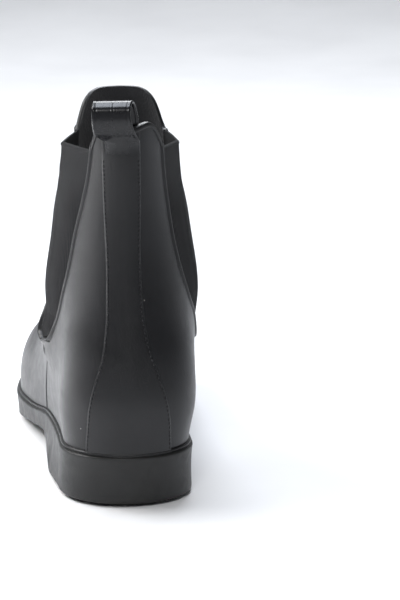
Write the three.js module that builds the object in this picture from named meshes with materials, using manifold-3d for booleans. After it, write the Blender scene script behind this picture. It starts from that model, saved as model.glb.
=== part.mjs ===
// Ankle-high rubber rain boot for the left foot, pull-on style with two elastic side gores.
// Millimetres. +Z is up, +Y points to the toe, +X to the inner (medial) side of the foot.
// The origin lies on the ground under the middle of the heel.
import * as THREE from "three";
import { mergeVertices } from "three/addons/utils/BufferGeometryUtils.js";
import Module from "manifold-3d";

// Overall dimensions of the last and of the sole
const HEEL_ROUND_Y = -8; // the round back of the heel starts here
const HEEL_RADIUS = 31;
const TOE_TIP_Y = 231;
const TOE_ROUND_Y = 165; // the round of the toe starts here
const TOE_TIP_HEIGHT = 34;
const HEEL_POWER = 2.3;
const TOE_POWER = 2.3;
const SHAFT_POWER = 2.3;
const INSTEP_BLEND = 260; // how softly foot and leg run into each other, mm2

// Thicknesses and gaps
const GAP = 0.35;
const RUBBER = 2.2;
const BACKSTAY_RAISE = 0.9;
const LINING = 1.1;
const LINING_CLEARANCE = 0.9;
const LINING_DEPTH = RUBBER + LINING_CLEARANCE;
const STIFFENER = 1.3;
const GORE = 1.6;
const SOLE_LEDGE = 2.6;
const WELT_HEIGHT = 2.0;
const BINDING = 0.8;
const BINDING_HEIGHT = 4.5;
const INSOLE_BOARD = 2.0;
const FOOTBED = 4.0;
const FOOTBED_COVER = 0.8;
const GROOVE_DEPTH = 2.2;
const GROOVE_WIDTH = 3;

// Pull loop
const LOOP_WIDTH = 19.5;
const LOOP_THICKNESS = 1.8;
const LOOP_TOP_Z = 196.2;
const LOOP_FREE_Z = 187.8; // above this the strap stands free of the collar and bends
const LOOP_END_TOP_Z = 184.2;
const LOOP_LOW_OUTER_Z = 165;
const LOOP_LOW_INNER_Z = 168;

// Heights of the parting lines
const FEATHER_Z = 25;
const FLEX_LOW_Z = 88;
const FLEX_HIGH_Z = 112;
const GORE_LOW_Z = 76.1;
const GORE_TOP_Z = 170;
const COUNTER_TOP_Z = 62;

const wasm = await Module();
wasm.setup();
const group = new THREE.Group();
group.name = "rubber_rain_boot";

const clamp = (v, low, high) => Math.min(Math.max(v, low), high);

function smoothStep(v, start, end) {
  const t = clamp((v - start) / (end - start), 0, 1);
  return t * t * (3 - 2 * t);
}

// A smooth curve through measured stations that never overshoots them (monotone cubic).
function stations(points) {
  const n = points.length;
  const slope = [];
  for (let i = 0; i < n - 1; i++) {
    slope.push((points[i + 1][1] - points[i][1]) / (points[i + 1][0] - points[i][0]));
  }
  const tangent = [slope[0]];
  for (let i = 1; i < n - 1; i++) {
    const a = slope[i - 1];
    const b = slope[i];
    tangent.push(a * b > 0 ? (2 * a * b) / (a + b) : 0);
  }
  tangent.push(slope[n - 2]);
  return (t) => {
    if (t <= points[0][0]) return points[0][1];
    if (t >= points[n - 1][0]) return points[n - 1][1];
    let i = 0;
    while (t > points[i + 1][0]) i++;
    const h = points[i + 1][0] - points[i][0];
    const u = (t - points[i][0]) / h;
    const v = 1 - u;
    const ends = points[i][1] * (1 + 2 * u) * v * v + points[i + 1][1] * u * u * (3 - 2 * u);
    return ends + h * u * v * (tangent[i] * v - tangent[i + 1] * u);
  };
}

// Stations along the foot (y): half width of the plan, its middle line, height of the instep crest,
// height of the feather line where upper meets sole, and height of the tread
const planHalf = stations([[-60, 31], [0, 31], [60, 32.5], [105, 39], [145, 45], [180, 44.5], [240, 43]]);
const planMiddle = stations([[-60, 0], [0, 0], [60, -1.5], [110, -3.2], [145, -2], [180, 1.5], [231, 8]]);
const crest = stations([
  [-60, 104], [-20, 108], [60, 122], [80, 112], [95, 98], [110, 86], [130, 76], [150, 69], [170, 63.5],
  [190, 59], [205, 55],
]);
const feather = stations([[-40, 25], [25, 25], [60, 22.5], [100, 17], [140, 15.5], [180, 16], [210, 18.5], [236, 23]]);
const tread = stations([[24, 0], [28, 3], [31, 7], [50, 8.5], [70, 5], [98, 0], [155, 0], [175, 1], [200, 3.5], [236, 9]]);

// Stations up the leg (z): back and front profile, half width, how much wider the front half is,
// the slight turn of the leg against the foot, and its sideways lean
const backLine = stations([[40, -34], [80, -35.5], [100, -33.5], [120, -31], [140, -30.5], [170, -32.5], [205, -35]]);
const frontLine = stations([[40, 60], [80, 80], [100, 80], [120, 75.5], [140, 73.5], [170, 75], [205, 79]]);
const legHalf = stations([[30, 18], [60, 34], [80, 36.5], [100, 35.5], [120, 33], [140, 30.5], [170, 28], [205, 28]]);
const frontFuller = stations([[60, 0.05], [100, 0.12], [140, 0.18], [205, 0.22]]);
const legTurn = stations([[60, 0], [90, 0.03], [130, 0.07], [205, 0.075]]);
const legLean = stations([[28, 0], [45, 1], [75, 2.6], [110, 2.2], [150, 1.4], [205, 1.4]]);
const heelFuller = stations([[20, -0.8], [28, -0.1], [50, 3], [75, 2.5], [90, -1], [120, -4]]);
const backstayHalf = stations([[25, 20.9], [39, 20.5], [54, 18.5], [67, 15.5], [85, 11.5], [95, 9.6], [120, 8.8], [175, 9.5]]);

// The outer side stands out round the foot of its gore, where the ankle widens into the instep
const ANKLE_SWELL = 7;
const swellAlong = stations([[-20, 0], [0, 0.12], [12, 0.4], [25, 0.78], [40, 1], [55, 0.9], [75, 0.5], [95, 0.18], [120, 0]]);
const swellUp = stations([
  [18, 0], [28, 0.1], [38, 0.26], [48, 0.48], [56, 0.7], [64, 0.92], [71, 1], [76, 0.88], [80, 0.64],
  [84, 0.4], [88, 0.22], [94, 0.07], [104, 0],
]);

// Seams: y of each seam at a height z
const frontSeam = stations([[20, 63], [50, 50], [70, 42], [74, 43], [80, 45.5], [100, 49], [130, 54], [170, 59]]);
const rearSeam = {
  lateral: stations([[75.5, 33], [77, 24], [80, 15], [86, 7], [93, 2], [110, -4.6], [129, -9], [144, -13.8], [158, -18], [172, -21]]),
  medial: stations([[75.5, 33], [77, 24], [80, 15], [86, 6], [97, -3], [116, -8], [146, -10], [160, -11.5], [175, -13]]),
};

// Largest of two surfaces with a soft transition
function softMax(a, b, k) {
  const h = clamp(0.5 + (0.5 * (a - b)) / k, 0, 1);
  return b + (a - b) * h + k * h * (1 - h);
}

// Squared half width of the boot at (y, z): the foot and the leg, blended
function halfWidthSquared(y, z) {
  const back = HEEL_RADIUS + heelFuller(z);
  const u = Math.max((HEEL_ROUND_Y - y) / back, 0);
  const t = Math.max((y - TOE_ROUND_Y) / (TOE_TIP_Y - TOE_ROUND_Y), 0);
  const fuller = 1 + (heelFuller(z) / HEEL_RADIUS) * (1 - smoothStep(y, -14, 44));
  const half = planHalf(y) * fuller;
  const plan = half * half * Math.min(1 - u ** HEEL_POWER, 1 - t ** TOE_POWER);
  const e = clamp((y - 205) / (TOE_TIP_Y - 205), 0, 1);
  const top = TOE_TIP_HEIGHT + (crest(y) - TOE_TIP_HEIGHT) * Math.sqrt(1 - e * e);
  const wide = Math.min(feather(y) + 9, top - 6);
  const eta = (z - wide) / (top - wide);
  const power = 3 - 0.65 * smoothStep(y, 35, 95);
  const fall = eta > 0 ? 1 - eta ** power : 1 - 0.3 * eta * eta;
  let foot = plan > 0 ? plan * fall : plan;
  if (plan <= 0 && fall < 0) foot = plan + fall * 900;
  const a = (frontLine(z) - backLine(z)) / 2;
  const v = (y - (frontLine(z) + backLine(z)) / 2) / a;
  const w = legHalf(z) * (1 + frontFuller(z) * v);
  const leg = w * w * (1 - Math.abs(v) ** SHAFT_POWER);
  const rear = plan + (leg - plan) * smoothStep(z, 40, 106);
  return rear + (softMax(foot, leg, INSTEP_BLEND) - rear) * smoothStep(y, -10, 40);
}

// Middle line of the boot in plan at (y, z)
function middle(y, z) {
  const ridge = 4 * smoothStep(y, 66, 114) * smoothStep(z, 16, 74);
  const foot = planMiddle(y) * (1 - smoothStep(z, 46, 112)) + ridge;
  return foot + legTurn(z) * (y - 20) + legLean(z) * (1 - smoothStep(y, 54, 126));
}

function zeroOf(f, inside, outside) {
  let a = inside;
  let b = outside;
  for (let i = 0; i < 40; i++) {
    const m = (a + b) / 2;
    if (f(m) > 0) a = m;
    else b = m;
  }
  return a;
}

const ringEnds = new Map();
function endsAt(z) {
  const key = Math.round(z * 1000);
  if (!ringEnds.has(key)) {
    const f = (y) => halfWidthSquared(y, z);
    ringEnds.set(key, [zeroOf(f, 20, -80), zeroOf(f, 20, 245)]);
  }
  return ringEnds.get(key);
}

// Position round a horizontal slice: 0 at the back, 1 or -1 at the front, negative on the outer side
function ringOfY(y, z) {
  const [back, front] = endsAt(z);
  return Math.acos(clamp(1 - (2 * (y - back)) / (front - back), -1, 1)) / Math.PI;
}

// Point of the boot's skin, moved out along its normal by off
function skin(ring, z, off) {
  const s = ring > 1 ? ring - 2 : ring < -1 ? ring + 2 : ring;
  const [back, front] = endsAt(z);
  const y = back + ((front - back) * (1 - Math.cos(Math.PI * Math.abs(s)))) / 2;
  const dx = Math.sign(s) * Math.sqrt(Math.max(halfWidthSquared(y, z), 0));
  const p = new THREE.Vector3(dx + middle(y, z), y, z);
  const h = 0.05;
  const qy = (halfWidthSquared(y + h, z) - halfWidthSquared(y - h, z)) / (2 * h);
  const qz = (halfWidthSquared(y, z + h) - halfWidthSquared(y, z - h)) / (2 * h);
  const my = (middle(y + h, z) - middle(y - h, z)) / (2 * h);
  const mz = (middle(y, z + h) - middle(y, z - h)) / (2 * h);
  const n = new THREE.Vector3(2 * dx, -2 * dx * my - qy, -2 * dx * mz - qz).normalize();
  const swell = s < 0 ? ANKLE_SWELL * swellAlong(y) * swellUp(z) : 0;
  return p.addScaledVector(n, off + swell);
}

// A seam pulled back by half the gap on one side, however it slopes
function seamEdge(seam, z, shift) {
  const slope = (seam(z + 0.2) - seam(z - 0.2)) / 0.4;
  return seam(z) + shift * Math.sqrt(1 + slope * slope);
}

// Closed solid from a grid of outer points and a grid of inner points of the same size
function shellSolid(outer, inner) {
  const rows = outer.length;
  const columns = outer[0].length;
  const positions = [];
  for (const grid of [outer, inner]) {
    for (const row of grid) {
      for (const p of row) positions.push(p.x, p.y, p.z);
    }
  }
  const o = (i, j) => i * columns + j;
  const n = (i, j) => rows * columns + i * columns + j;
  const index = [];
  const quad = (a, b, c, d) => index.push(a, b, c, a, c, d);
  for (let i = 0; i < rows - 1; i++) {
    for (let j = 0; j < columns - 1; j++) {
      quad(o(i, j), o(i, j + 1), o(i + 1, j + 1), o(i + 1, j));
      quad(n(i, j), n(i + 1, j), n(i + 1, j + 1), n(i, j + 1));
    }
    quad(o(i, 0), o(i + 1, 0), n(i + 1, 0), n(i, 0));
    quad(o(i, columns - 1), n(i, columns - 1), n(i + 1, columns - 1), o(i + 1, columns - 1));
  }
  for (let j = 0; j < columns - 1; j++) {
    quad(o(0, j), n(0, j), n(0, j + 1), o(0, j + 1));
    quad(o(rows - 1, j), o(rows - 1, j + 1), n(rows - 1, j + 1), n(rows - 1, j));
  }
  return rightSideOut(positions, index);
}

// Turns every face round when the solid came out inside out
function rightSideOut(positions, index) {
  let volume = 0;
  const at = (k) => new THREE.Vector3().fromArray(positions, 3 * k);
  for (let i = 0; i < index.length; i += 3) {
    volume += at(index[i]).dot(at(index[i + 1]).cross(at(index[i + 2])));
  }
  const faces = index.slice();
  if (volume < 0) {
    for (let i = 0; i < faces.length; i += 3) {
      [faces[i + 1], faces[i + 2]] = [faces[i + 2], faces[i + 1]];
    }
  }
  const geometry = new THREE.BufferGeometry();
  geometry.setAttribute("position", new THREE.Float32BufferAttribute(positions, 3));
  geometry.setIndex(faces);
  return geometry;
}

function addPart(name, geometry, colour, roughness, metalness = 0) {
  const material = new THREE.MeshStandardMaterial({ color: colour, roughness, metalness });
  const shape = geometry.index ? geometry.toNonIndexed() : geometry;
  shape.computeVertexNormals();
  const mesh = new THREE.Mesh(shape, material);
  mesh.name = name;
  group.add(mesh);
}

function toManifold(geometry) {
  const bare = geometry.clone();
  bare.deleteAttribute("normal");
  bare.deleteAttribute("uv");
  const merged = mergeVertices(bare, 1e-4);
  return new wasm.Manifold(
    new wasm.Mesh({
      numProp: 3,
      vertProperties: new Float32Array(merged.attributes.position.array),
      triVerts: new Uint32Array(merged.index.array),
    }),
  );
}

function fromManifold(solid) {
  const mesh = solid.getMesh();
  const geometry = new THREE.BufferGeometry();
  geometry.setAttribute("position", new THREE.Float32BufferAttribute(mesh.vertProperties, 3));
  geometry.setIndex(Array.from(mesh.triVerts));
  return geometry;
}

// Heights used by every panel of the upper, close together where the foot of the gore is rounded
const ROWS = [
  25, 30, 36, 42, 47, 51, 54, 57, 60, 63, 66, 69, 72, 74, 75.3, 76.1, 78, 81, 84.5, 88, 94, 100, 106, 112, 122, 132, 142,
  151, 158, 164, 170,
];
// Columns of the panels; each lining has the columns of the rubber outside it
const QUARTER_COLUMNS = 5;
const BACKSTAY_COLUMNS = 6;
const VAMP_COLUMNS = 24;
const FRONT_COLUMNS = 14;
const rowsBetween = (low, high) => ROWS.filter((z) => z >= low - 1e-6 && z <= high + 1e-6);

// The lowest rows drop or rise with the feather line
function settle(z, y) {
  return z + (feather(y) + 0.3 - FEATHER_Z) * (1 - smoothStep(z, FEATHER_Z, 58));
}

// Rise of the front dome at a distance from its middle: flat on top with round shoulders
const frontRise = stations([
  [0, 20.2], [9.6, 19.9], [13.5, 18.6], [16.8, 15.6], [18.6, 12.8], [20.1, 9.4], [22, 4.4], [23.4, 1.2], [24.5, 0.4],
]);

// Height of the top line above the shared rows: a dome at the back and a taller dome in front.
// The column is known by its ring position at the top of the gores.
function backDome(topRing, z) {
  const share = Math.abs(topRing) / quarterEdge(GORE_TOP_Z, Math.sign(topRing));
  const rise = 12.6 - 2.2 * Math.max(1 - share / 0.6, 0) - 12.1 * smoothStep(share, 0.6, 1);
  return z + rise * smoothStep(z, 142, 170);
}

function frontDome(topRing, z) {
  const x = Math.abs(skin(topRing, GORE_TOP_Z, 0).x - middle(70, GORE_TOP_Z) + 1);
  return z + frontRise(x) * smoothStep(z, 112, 170);
}

// Panel of the upper between two ring positions given for each height
function panel(rows, columns, ringFrom, ringTo, outerOff, innerOff, lift) {
  const across = (z, share) => ringFrom(z) + (ringTo(z) - ringFrom(z)) * share;
  return panelAcross(rows, columns, across, outerOff, innerOff, lift);
}

// The same, with the ring position given for each height and share of the width
function panelAcross(rows, columns, across, outerOff, innerOff, lift = (topRing, z) => z) {
  const outer = [];
  const inner = [];
  for (const z of rows) {
    const outerRow = [];
    const innerRow = [];
    for (let j = 0; j <= columns; j++) {
      const share = j / columns;
      const low = settle(z, skin(across(z, share), z, 0).y);
      const height = lift(across(GORE_TOP_Z, share), low);
      const ring = across(height, share);
      outerRow.push(skin(ring, height, outerOff(ring, height)));
      innerRow.push(skin(ring, height, innerOff(ring, height)));
    }
    outer.push(outerRow);
    inner.push(innerRow);
  }
  return shellSolid(outer, inner);
}

// Ring positions of the seams, for a side of -1 (outer, lateral) or +1 (inner, medial)
function backstayEdge(z, shift) {
  const half = backstayHalf(z) + shift;
  const [back] = endsAt(z);
  const f = (y) => half * half - halfWidthSquared(y, z);
  return ringOfY(zeroOf(f, back, 20), z);
}

function frontEdge(z, shift) {
  return ringOfY(seamEdge(frontSeam, z, shift), z);
}

function quarterEdge(z, side) {
  if (z < 75.5) return frontEdge(z, -GAP / 2);
  const seam = side < 0 ? rearSeam.lateral : rearSeam.medial;
  return ringOfY(seamEdge(seam, z, -GAP / 2), z);
}

function goreRearEdge(z, side) {
  const seam = side < 0 ? rearSeam.lateral : rearSeam.medial;
  return ringOfY(seamEdge(seam, Math.max(z, 76.3), GAP / 2), z);
}

// --- upper: outer rubber ---------------------------------------------------------------------
const flat = (depth) => () => -depth;

for (const [name, side] of [["quarter_lateral", -1], ["quarter_medial", 1]]) {
  const geometry = panel(
    rowsBetween(FEATHER_Z, GORE_TOP_Z),
    QUARTER_COLUMNS,
    (z) => side * backstayEdge(z, GAP),
    (z) => side * quarterEdge(z, side),
    flat(0),
    flat(RUBBER),
    backDome,
  );
  addPart(name, geometry, 0x26262a, 0.42);
}

const strapRaise = (ring, z) => BACKSTAY_RAISE * (1 - smoothStep(z, 168, 174));
addPart(
  "backstay",
  panel(
    rowsBetween(FEATHER_Z, GORE_TOP_Z),
    BACKSTAY_COLUMNS,
    (z) => -backstayEdge(z, 0),
    (z) => backstayEdge(z, 0),
    strapRaise,
    flat(RUBBER),
    backDome,
  ),
  0x2c2c30,
  0.45,
);

addPart(
  "vamp",
  panel(
    rowsBetween(FEATHER_Z, FLEX_LOW_Z),
    VAMP_COLUMNS,
    (z) => frontEdge(z, GAP / 2),
    (z) => 2 - frontEdge(z, GAP / 2),
    flat(0),
    flat(RUBBER),
  ),
  0x232327,
  0.4,
);

const flexRows = rowsBetween(FLEX_LOW_Z, FLEX_HIGH_Z);
flexRows[0] += GAP;
addPart(
  "instep_flex",
  panel(
    flexRows,
    FRONT_COLUMNS,
    (z) => frontEdge(z, GAP / 2),
    (z) => 2 - frontEdge(z, GAP / 2),
    flat(0),
    flat(RUBBER),
  ),
  0x232327,
  0.4,
);

const domeRows = rowsBetween(FLEX_HIGH_Z, GORE_TOP_Z);
domeRows[0] += GAP;
addPart(
  "front_shaft",
  panel(
    domeRows,
    FRONT_COLUMNS,
    (z) => frontEdge(z, GAP / 2),
    (z) => 2 - frontEdge(z, GAP / 2),
    flat(0),
    flat(RUBBER),
    frontDome,
  ),
  0x26262a,
  0.42,
);

// --- elastic gores, bulging outwards more towards the top ------------------------------------
for (const [name, side, bulge] of [["gore_lateral", -1, 4], ["gore_medial", 1, 1.8]]) {
  const rows = rowsBetween(GORE_LOW_Z, GORE_TOP_Z);
  rows[0] += 0.4;
  const swell = (ring, z) => {
    const from = goreRearEdge(z, side);
    const to = frontEdge(z, -GAP / 2);
    const t = clamp((Math.abs(ring) - from) / (to - from), 0, 1);
    return bulge * Math.sin(Math.PI * t) * smoothStep(z, 76, 100);
  };
  const geometry = panel(
    rows,
    8,
    (z) => side * goreRearEdge(z, side),
    (z) => side * frontEdge(z, -GAP / 2),
    (ring, z) => swell(ring, z) - 0.2,
    (ring, z) => swell(ring, z) - 0.2 - GORE,
  );
  addPart(name, geometry, 0x303033, 0.9);
}

// --- stiffeners and linings ------------------------------------------------------------------
const counterRows = rowsBetween(30, COUNTER_TOP_Z);
const counterReach = (z) => ringOfY(26 - 0.3 * (z - 30), z);
addPart(
  "heel_counter",
  panel(
    counterRows,
    12,
    (z) => -counterReach(z),
    (z) => counterReach(z),
    flat(LINING_DEPTH),
    flat(LINING_DEPTH + STIFFENER),
  ),
  0xb9a88a,
  0.8,
);

const puffReach = (z) => ringOfY(182 - 0.25 * (z - 30), z);
addPart(
  "toe_puff",
  panel(
    rowsBetween(30, 54),
    16,
    (z) => puffReach(z),
    (z) => 2 - puffReach(z),
    flat(LINING_DEPTH),
    flat(LINING_DEPTH + STIFFENER),
  ),
  0xb9a88a,
  0.8,
);

// The lining stands further in where a stiffener lies behind it
const heelDepth = (ring, z) => LINING_DEPTH + (STIFFENER + LINING_CLEARANCE) * (1 - smoothStep(z, 62, 72));
const toeDepth = (ring, z) => {
  const y = skin(ring, z, 0).y;
  return LINING_DEPTH + (STIFFENER + LINING_CLEARANCE) * smoothStep(y, 150, 168);
};
const liningColour = 0x3a3a3f;
const REAR_COLUMNS = 2 * QUARTER_COLUMNS + BACKSTAY_COLUMNS;
function acrossRear(z, share) {
  const j = share * REAR_COLUMNS;
  const side = j < REAR_COLUMNS / 2 ? -1 : 1;
  const fromMiddle = Math.abs(j - REAR_COLUMNS / 2);
  const stay = backstayEdge(z, 0);
  if (fromMiddle <= BACKSTAY_COLUMNS / 2) return (side * stay * fromMiddle) / (BACKSTAY_COLUMNS / 2);
  const edge = quarterEdge(z, side) - 0.01;
  return side * (stay + ((edge - stay) * (fromMiddle - BACKSTAY_COLUMNS / 2)) / QUARTER_COLUMNS);
}
addPart(
  "lining_rear",
  panelAcross(
    rowsBetween(30, GORE_TOP_Z),
    REAR_COLUMNS,
    acrossRear,
    (ring, z) => -heelDepth(ring, z),
    (ring, z) => -heelDepth(ring, z) - LINING,
    backDome,
  ),
  liningColour,
  0.95,
);

addPart(
  "lining_vamp",
  panel(
    rowsBetween(30, FLEX_LOW_Z),
    VAMP_COLUMNS,
    (z) => frontEdge(z, 0.6),
    (z) => 2 - frontEdge(z, 0.6),
    (ring, z) => -toeDepth(ring, z),
    (ring, z) => -toeDepth(ring, z) - LINING,
  ),
  liningColour,
  0.95,
);

addPart(
  "lining_flex",
  panel(
    flexRows,
    FRONT_COLUMNS,
    (z) => frontEdge(z, 0.6),
    (z) => 2 - frontEdge(z, 0.6),
    flat(LINING_DEPTH),
    flat(LINING_DEPTH + LINING),
  ),
  liningColour,
  0.95,
);

addPart(
  "lining_front",
  panel(
    domeRows,
    FRONT_COLUMNS,
    (z) => frontEdge(z, 0.6),
    (z) => 2 - frontEdge(z, 0.6),
    flat(LINING_DEPTH),
    flat(LINING_DEPTH + LINING),
    frontDome,
  ),
  liningColour,
  0.95,
);

// --- bindings over the two domed edges of the top line ---------------------------------------
// The section is a narrow channel that straddles rubber and lining
function binding(across, columns, dome) {
  const outside = GAP + BINDING;
  const inside = LINING_DEPTH + LINING + GAP + BINDING;
  const section = [
    [outside, -BINDING_HEIGHT],
    [outside, 0.5],
    [outside - 0.6, GAP + BINDING],
    [-inside + 0.6, GAP + BINDING],
    [-inside, 0.5],
    [-inside, -BINDING_HEIGHT],
    [-inside + BINDING, -BINDING_HEIGHT],
    [-inside + BINDING, GAP],
    [outside - BINDING, GAP],
    [outside - BINDING, -BINDING_HEIGHT],
  ];
  const positions = [];
  const index = [];
  const n = section.length;
  const edgeAt = (j) => {
    const topRing = across(GORE_TOP_Z, j / columns);
    const z = dome(topRing, GORE_TOP_Z);
    return [across(z, j / columns), z];
  };
  for (let j = 1; j < columns; j++) {
    const [ring, z] = edgeAt(j);
    const [ringBefore, zBefore] = edgeAt(j - 1);
    const [ringAfter, zAfter] = edgeAt(j + 1);
    const step = 0.002;
    const r = skin(ring + step, z, 0).sub(skin(ring - step, z, 0)).divideScalar(2 * step);
    const v = skin(ring, z + 0.1, 0).sub(skin(ring, z - 0.1, 0)).divideScalar(0.2);
    const along = [ringAfter - ringBefore, zAfter - zBefore];
    // direction in the skin at right angles to the edge, upwards
    const upRing = -(r.dot(v) * along[0] + v.dot(v) * along[1]);
    const upZ = r.dot(r) * along[0] + r.dot(v) * along[1];
    const length = r.clone().multiplyScalar(upRing).addScaledVector(v, upZ).length();
    for (const [off, up] of section) {
      const p = skin(ring + (upRing / length) * up, z + (upZ / length) * up, off);
      positions.push(p.x, p.y, p.z);
    }
  }
  const last = columns - 2;
  for (let j = 0; j < last; j++) {
    for (let k = 0; k < n; k++) {
      const a = j * n + k;
      const b = j * n + ((k + 1) % n);
      index.push(a, b, b + n, a, b + n, a + n);
    }
  }
  // both ends: the channel is cut into a fan of convex pieces
  const caps = [[0, 1, 9], [1, 8, 9], [1, 2, 8], [2, 3, 7], [2, 7, 8], [3, 4, 7], [4, 6, 7], [4, 5, 6]];
  for (const [a, b, c] of caps) {
    index.push(a, c, b);
    index.push(last * n + a, last * n + b, last * n + c);
  }
  return rightSideOut(positions, index);
}

const acrossFront = (z, share) => {
  const edge = frontEdge(z, GAP / 2);
  return edge + (2 - 2 * edge) * share;
};
addPart("binding_rear", binding(acrossRear, REAR_COLUMNS, backDome), 0x1f1f22, 0.35);
addPart("binding_front", binding(acrossFront, FRONT_COLUMNS, frontDome), 0x1f1f22, 0.35);

// --- pull loop -------------------------------------------------------------------------------
const loopMiddle = (z) => middle(-33, z) - 5.6 * smoothStep(z, 166, 185);
const loopOuterOff = GAP + BINDING + GAP;
const loopInnerOff = -(LINING_DEPTH + LINING + GAP + BINDING + GAP);

// Ring position near the back at a given x
function ringOfX(x, z) {
  const [back] = endsAt(z);
  const half = x - middle(back, z);
  const f = (y) => half * half - halfWidthSquared(y, z);
  return Math.sign(half) * ringOfY(zeroOf(f, back, 20), z);
}

// Stitched end of the strap, lying on the curved collar
function strapEnd(low, off) {
  const grid = (depth) =>
    Array.from({ length: 6 }, (_, i) => {
      const z = low + ((LOOP_END_TOP_Z - low) * i) / 5;
      return Array.from({ length: 9 }, (__, j) => {
        const x = loopMiddle(z) + LOOP_WIDTH * (j / 8 - 0.5);
        return skin(ringOfX(x, z), z, depth);
      });
    });
  const outside = Math.max(off, off + Math.sign(off) * LOOP_THICKNESS);
  const inside = Math.min(off, off + Math.sign(off) * LOOP_THICKNESS);
  return shellSolid(grid(outside), grid(inside));
}

function strap(path) {
  const outer = [];
  const inner = [];
  for (let i = 0; i < path.length; i++) {
    const before = path[Math.max(i - 1, 0)];
    const after = path[Math.min(i + 1, path.length - 1)];
    const along = new THREE.Vector3(0, after.y - before.y, after.z - before.z).normalize();
    const normal = new THREE.Vector3(0, -along.z, along.y);
    const rowOut = [];
    const rowIn = [];
    for (let j = 0; j <= 4; j++) {
      const x = loopMiddle(path[i].z) + LOOP_WIDTH * (j / 4 - 0.5);
      const base = new THREE.Vector3(x, path[i].y, path[i].z);
      rowOut.push(base.clone().addScaledVector(normal, LOOP_THICKNESS / 2));
      rowIn.push(base.clone().addScaledVector(normal, -LOOP_THICKNESS / 2));
    }
    outer.push(rowOut);
    inner.push(rowIn);
  }
  return shellSolid(outer, inner);
}

const outerLow = skin(0, LOOP_FREE_Z, loopOuterOff + LOOP_THICKNESS / 2).y;
const innerLow = skin(0, LOOP_FREE_Z, loopInnerOff - LOOP_THICKNESS / 2).y;
const loopTop = LOOP_TOP_Z - LOOP_THICKNESS / 2;
const loopPath = new THREE.CatmullRomCurve3(
  [
    new THREE.Vector3(0, outerLow, LOOP_FREE_Z),
    new THREE.Vector3(0, outerLow - 2.2, LOOP_FREE_Z + 2.6),
    new THREE.Vector3(0, outerLow - 1.6, LOOP_FREE_Z + 5.8),
    new THREE.Vector3(0, (outerLow + innerLow) / 2 - 1.6, loopTop),
    new THREE.Vector3(0, innerLow - 0.3, LOOP_FREE_Z + 6),
    new THREE.Vector3(0, innerLow + 0.3, LOOP_FREE_Z + 3),
    new THREE.Vector3(0, innerLow, LOOP_FREE_Z),
  ],
  false,
  "centripetal",
).getPoints(24);
addPart("pull_loop", strap(loopPath), 0x2c2c30, 0.45);
addPart("loop_end_outer", strapEnd(LOOP_LOW_OUTER_Z, loopOuterOff), 0x2c2c30, 0.45);
addPart("loop_end_inner", strapEnd(LOOP_LOW_INNER_Z, loopInnerOff), 0x2c2c30, 0.45);

// --- sole unit -------------------------------------------------------------------------------
// Plan outline at station t (0 heel, 1 toe) on one side, moved outwards by off
function outline(t, side, off) {
  const backY = HEEL_ROUND_Y - HEEL_RADIUS;
  const y = backY + ((TOE_TIP_Y - backY) * (1 - Math.cos(Math.PI * t))) / 2;
  const half = (v) => {
    const u = Math.max((HEEL_ROUND_Y - v) / HEEL_RADIUS, 0);
    const e = Math.max((v - TOE_ROUND_Y) / (TOE_TIP_Y - TOE_ROUND_Y), 0);
    const plan = planHalf(v) ** 2 * Math.min(1 - u ** HEEL_POWER, 1 - e ** TOE_POWER);
    return Math.sqrt(Math.max(plan, 0));
  };
  const h = 0.02;
  const slope = (half(y + h) - half(y - h)) / (2 * h);
  const n = new THREE.Vector2(1, -slope).normalize();
  return [planMiddle(y) + side * (half(y) + n.x * off), y + n.y * off];
}

// Slab between two heights, level by level: each level is an outline offset and a height function of y
function slab(levels, tFrom, tTo, rows, columns) {
  const positions = [];
  const index = [];
  const grids = [];
  const cap = (off, height) => {
    const grid = [];
    for (let i = 0; i <= rows; i++) {
      const t = tFrom + ((tTo - tFrom) * i) / rows;
      const [xl, yl] = outline(t, -1, off);
      const [xm, ym] = outline(t, 1, off);
      const line = [];
      for (let j = 0; j <= columns; j++) {
        const k = j / columns;
        const y = yl + (ym - yl) * k;
        line.push(positions.length / 3);
        positions.push(xl + (xm - xl) * k, y, height(y));
      }
      grid.push(line);
    }
    return grid;
  };
  const edgeOf = (grid) => {
    const last = grid.length - 1;
    const loop = [...grid[0]];
    for (let i = 1; i <= last; i++) loop.push(grid[i][columns]);
    for (let j = columns - 1; j >= 0; j--) loop.push(grid[last][j]);
    for (let i = last - 1; i > 0; i--) loop.push(grid[i][0]);
    return loop;
  };
  for (const [off, height] of levels) grids.push(cap(off, height));
  const bottom = grids[0];
  const top = grids[grids.length - 1];
  for (let i = 0; i < rows; i++) {
    for (let j = 0; j < columns; j++) {
      const quad = (g) => [g[i][j], g[i][j + 1], g[i + 1][j + 1], g[i + 1][j]];
      const [a, b, c, d] = quad(bottom);
      index.push(a, c, b, a, d, c);
      const [e, f, g, h] = quad(top);
      index.push(e, f, g, e, g, h);
    }
  }
  for (let l = 0; l < grids.length - 1; l++) {
    const low = edgeOf(grids[l]);
    const high = edgeOf(grids[l + 1]);
    for (let k = 0; k < low.length; k++) {
      const m = (k + 1) % low.length;
      index.push(low[k], low[m], high[m], low[k], high[m], high[k]);
    }
  }
  return withoutSpares(positions, index);
}

// Drops the inner points of the middle levels, which no face uses
function withoutSpares(positions, index) {
  const kept = new Map();
  const used = [];
  const faces = index.map((k) => {
    if (!kept.has(k)) {
      kept.set(k, used.length / 3);
      used.push(positions[3 * k], positions[3 * k + 1], positions[3 * k + 2]);
    }
    return kept.get(k);
  });
  return rightSideOut(used, faces);
}

const box = (x, y, z, sx, sy, sz) => {
  const geometry = new THREE.BoxGeometry(sx, sy, sz).translate(x, y, z);
  return toManifold(geometry);
};

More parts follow.
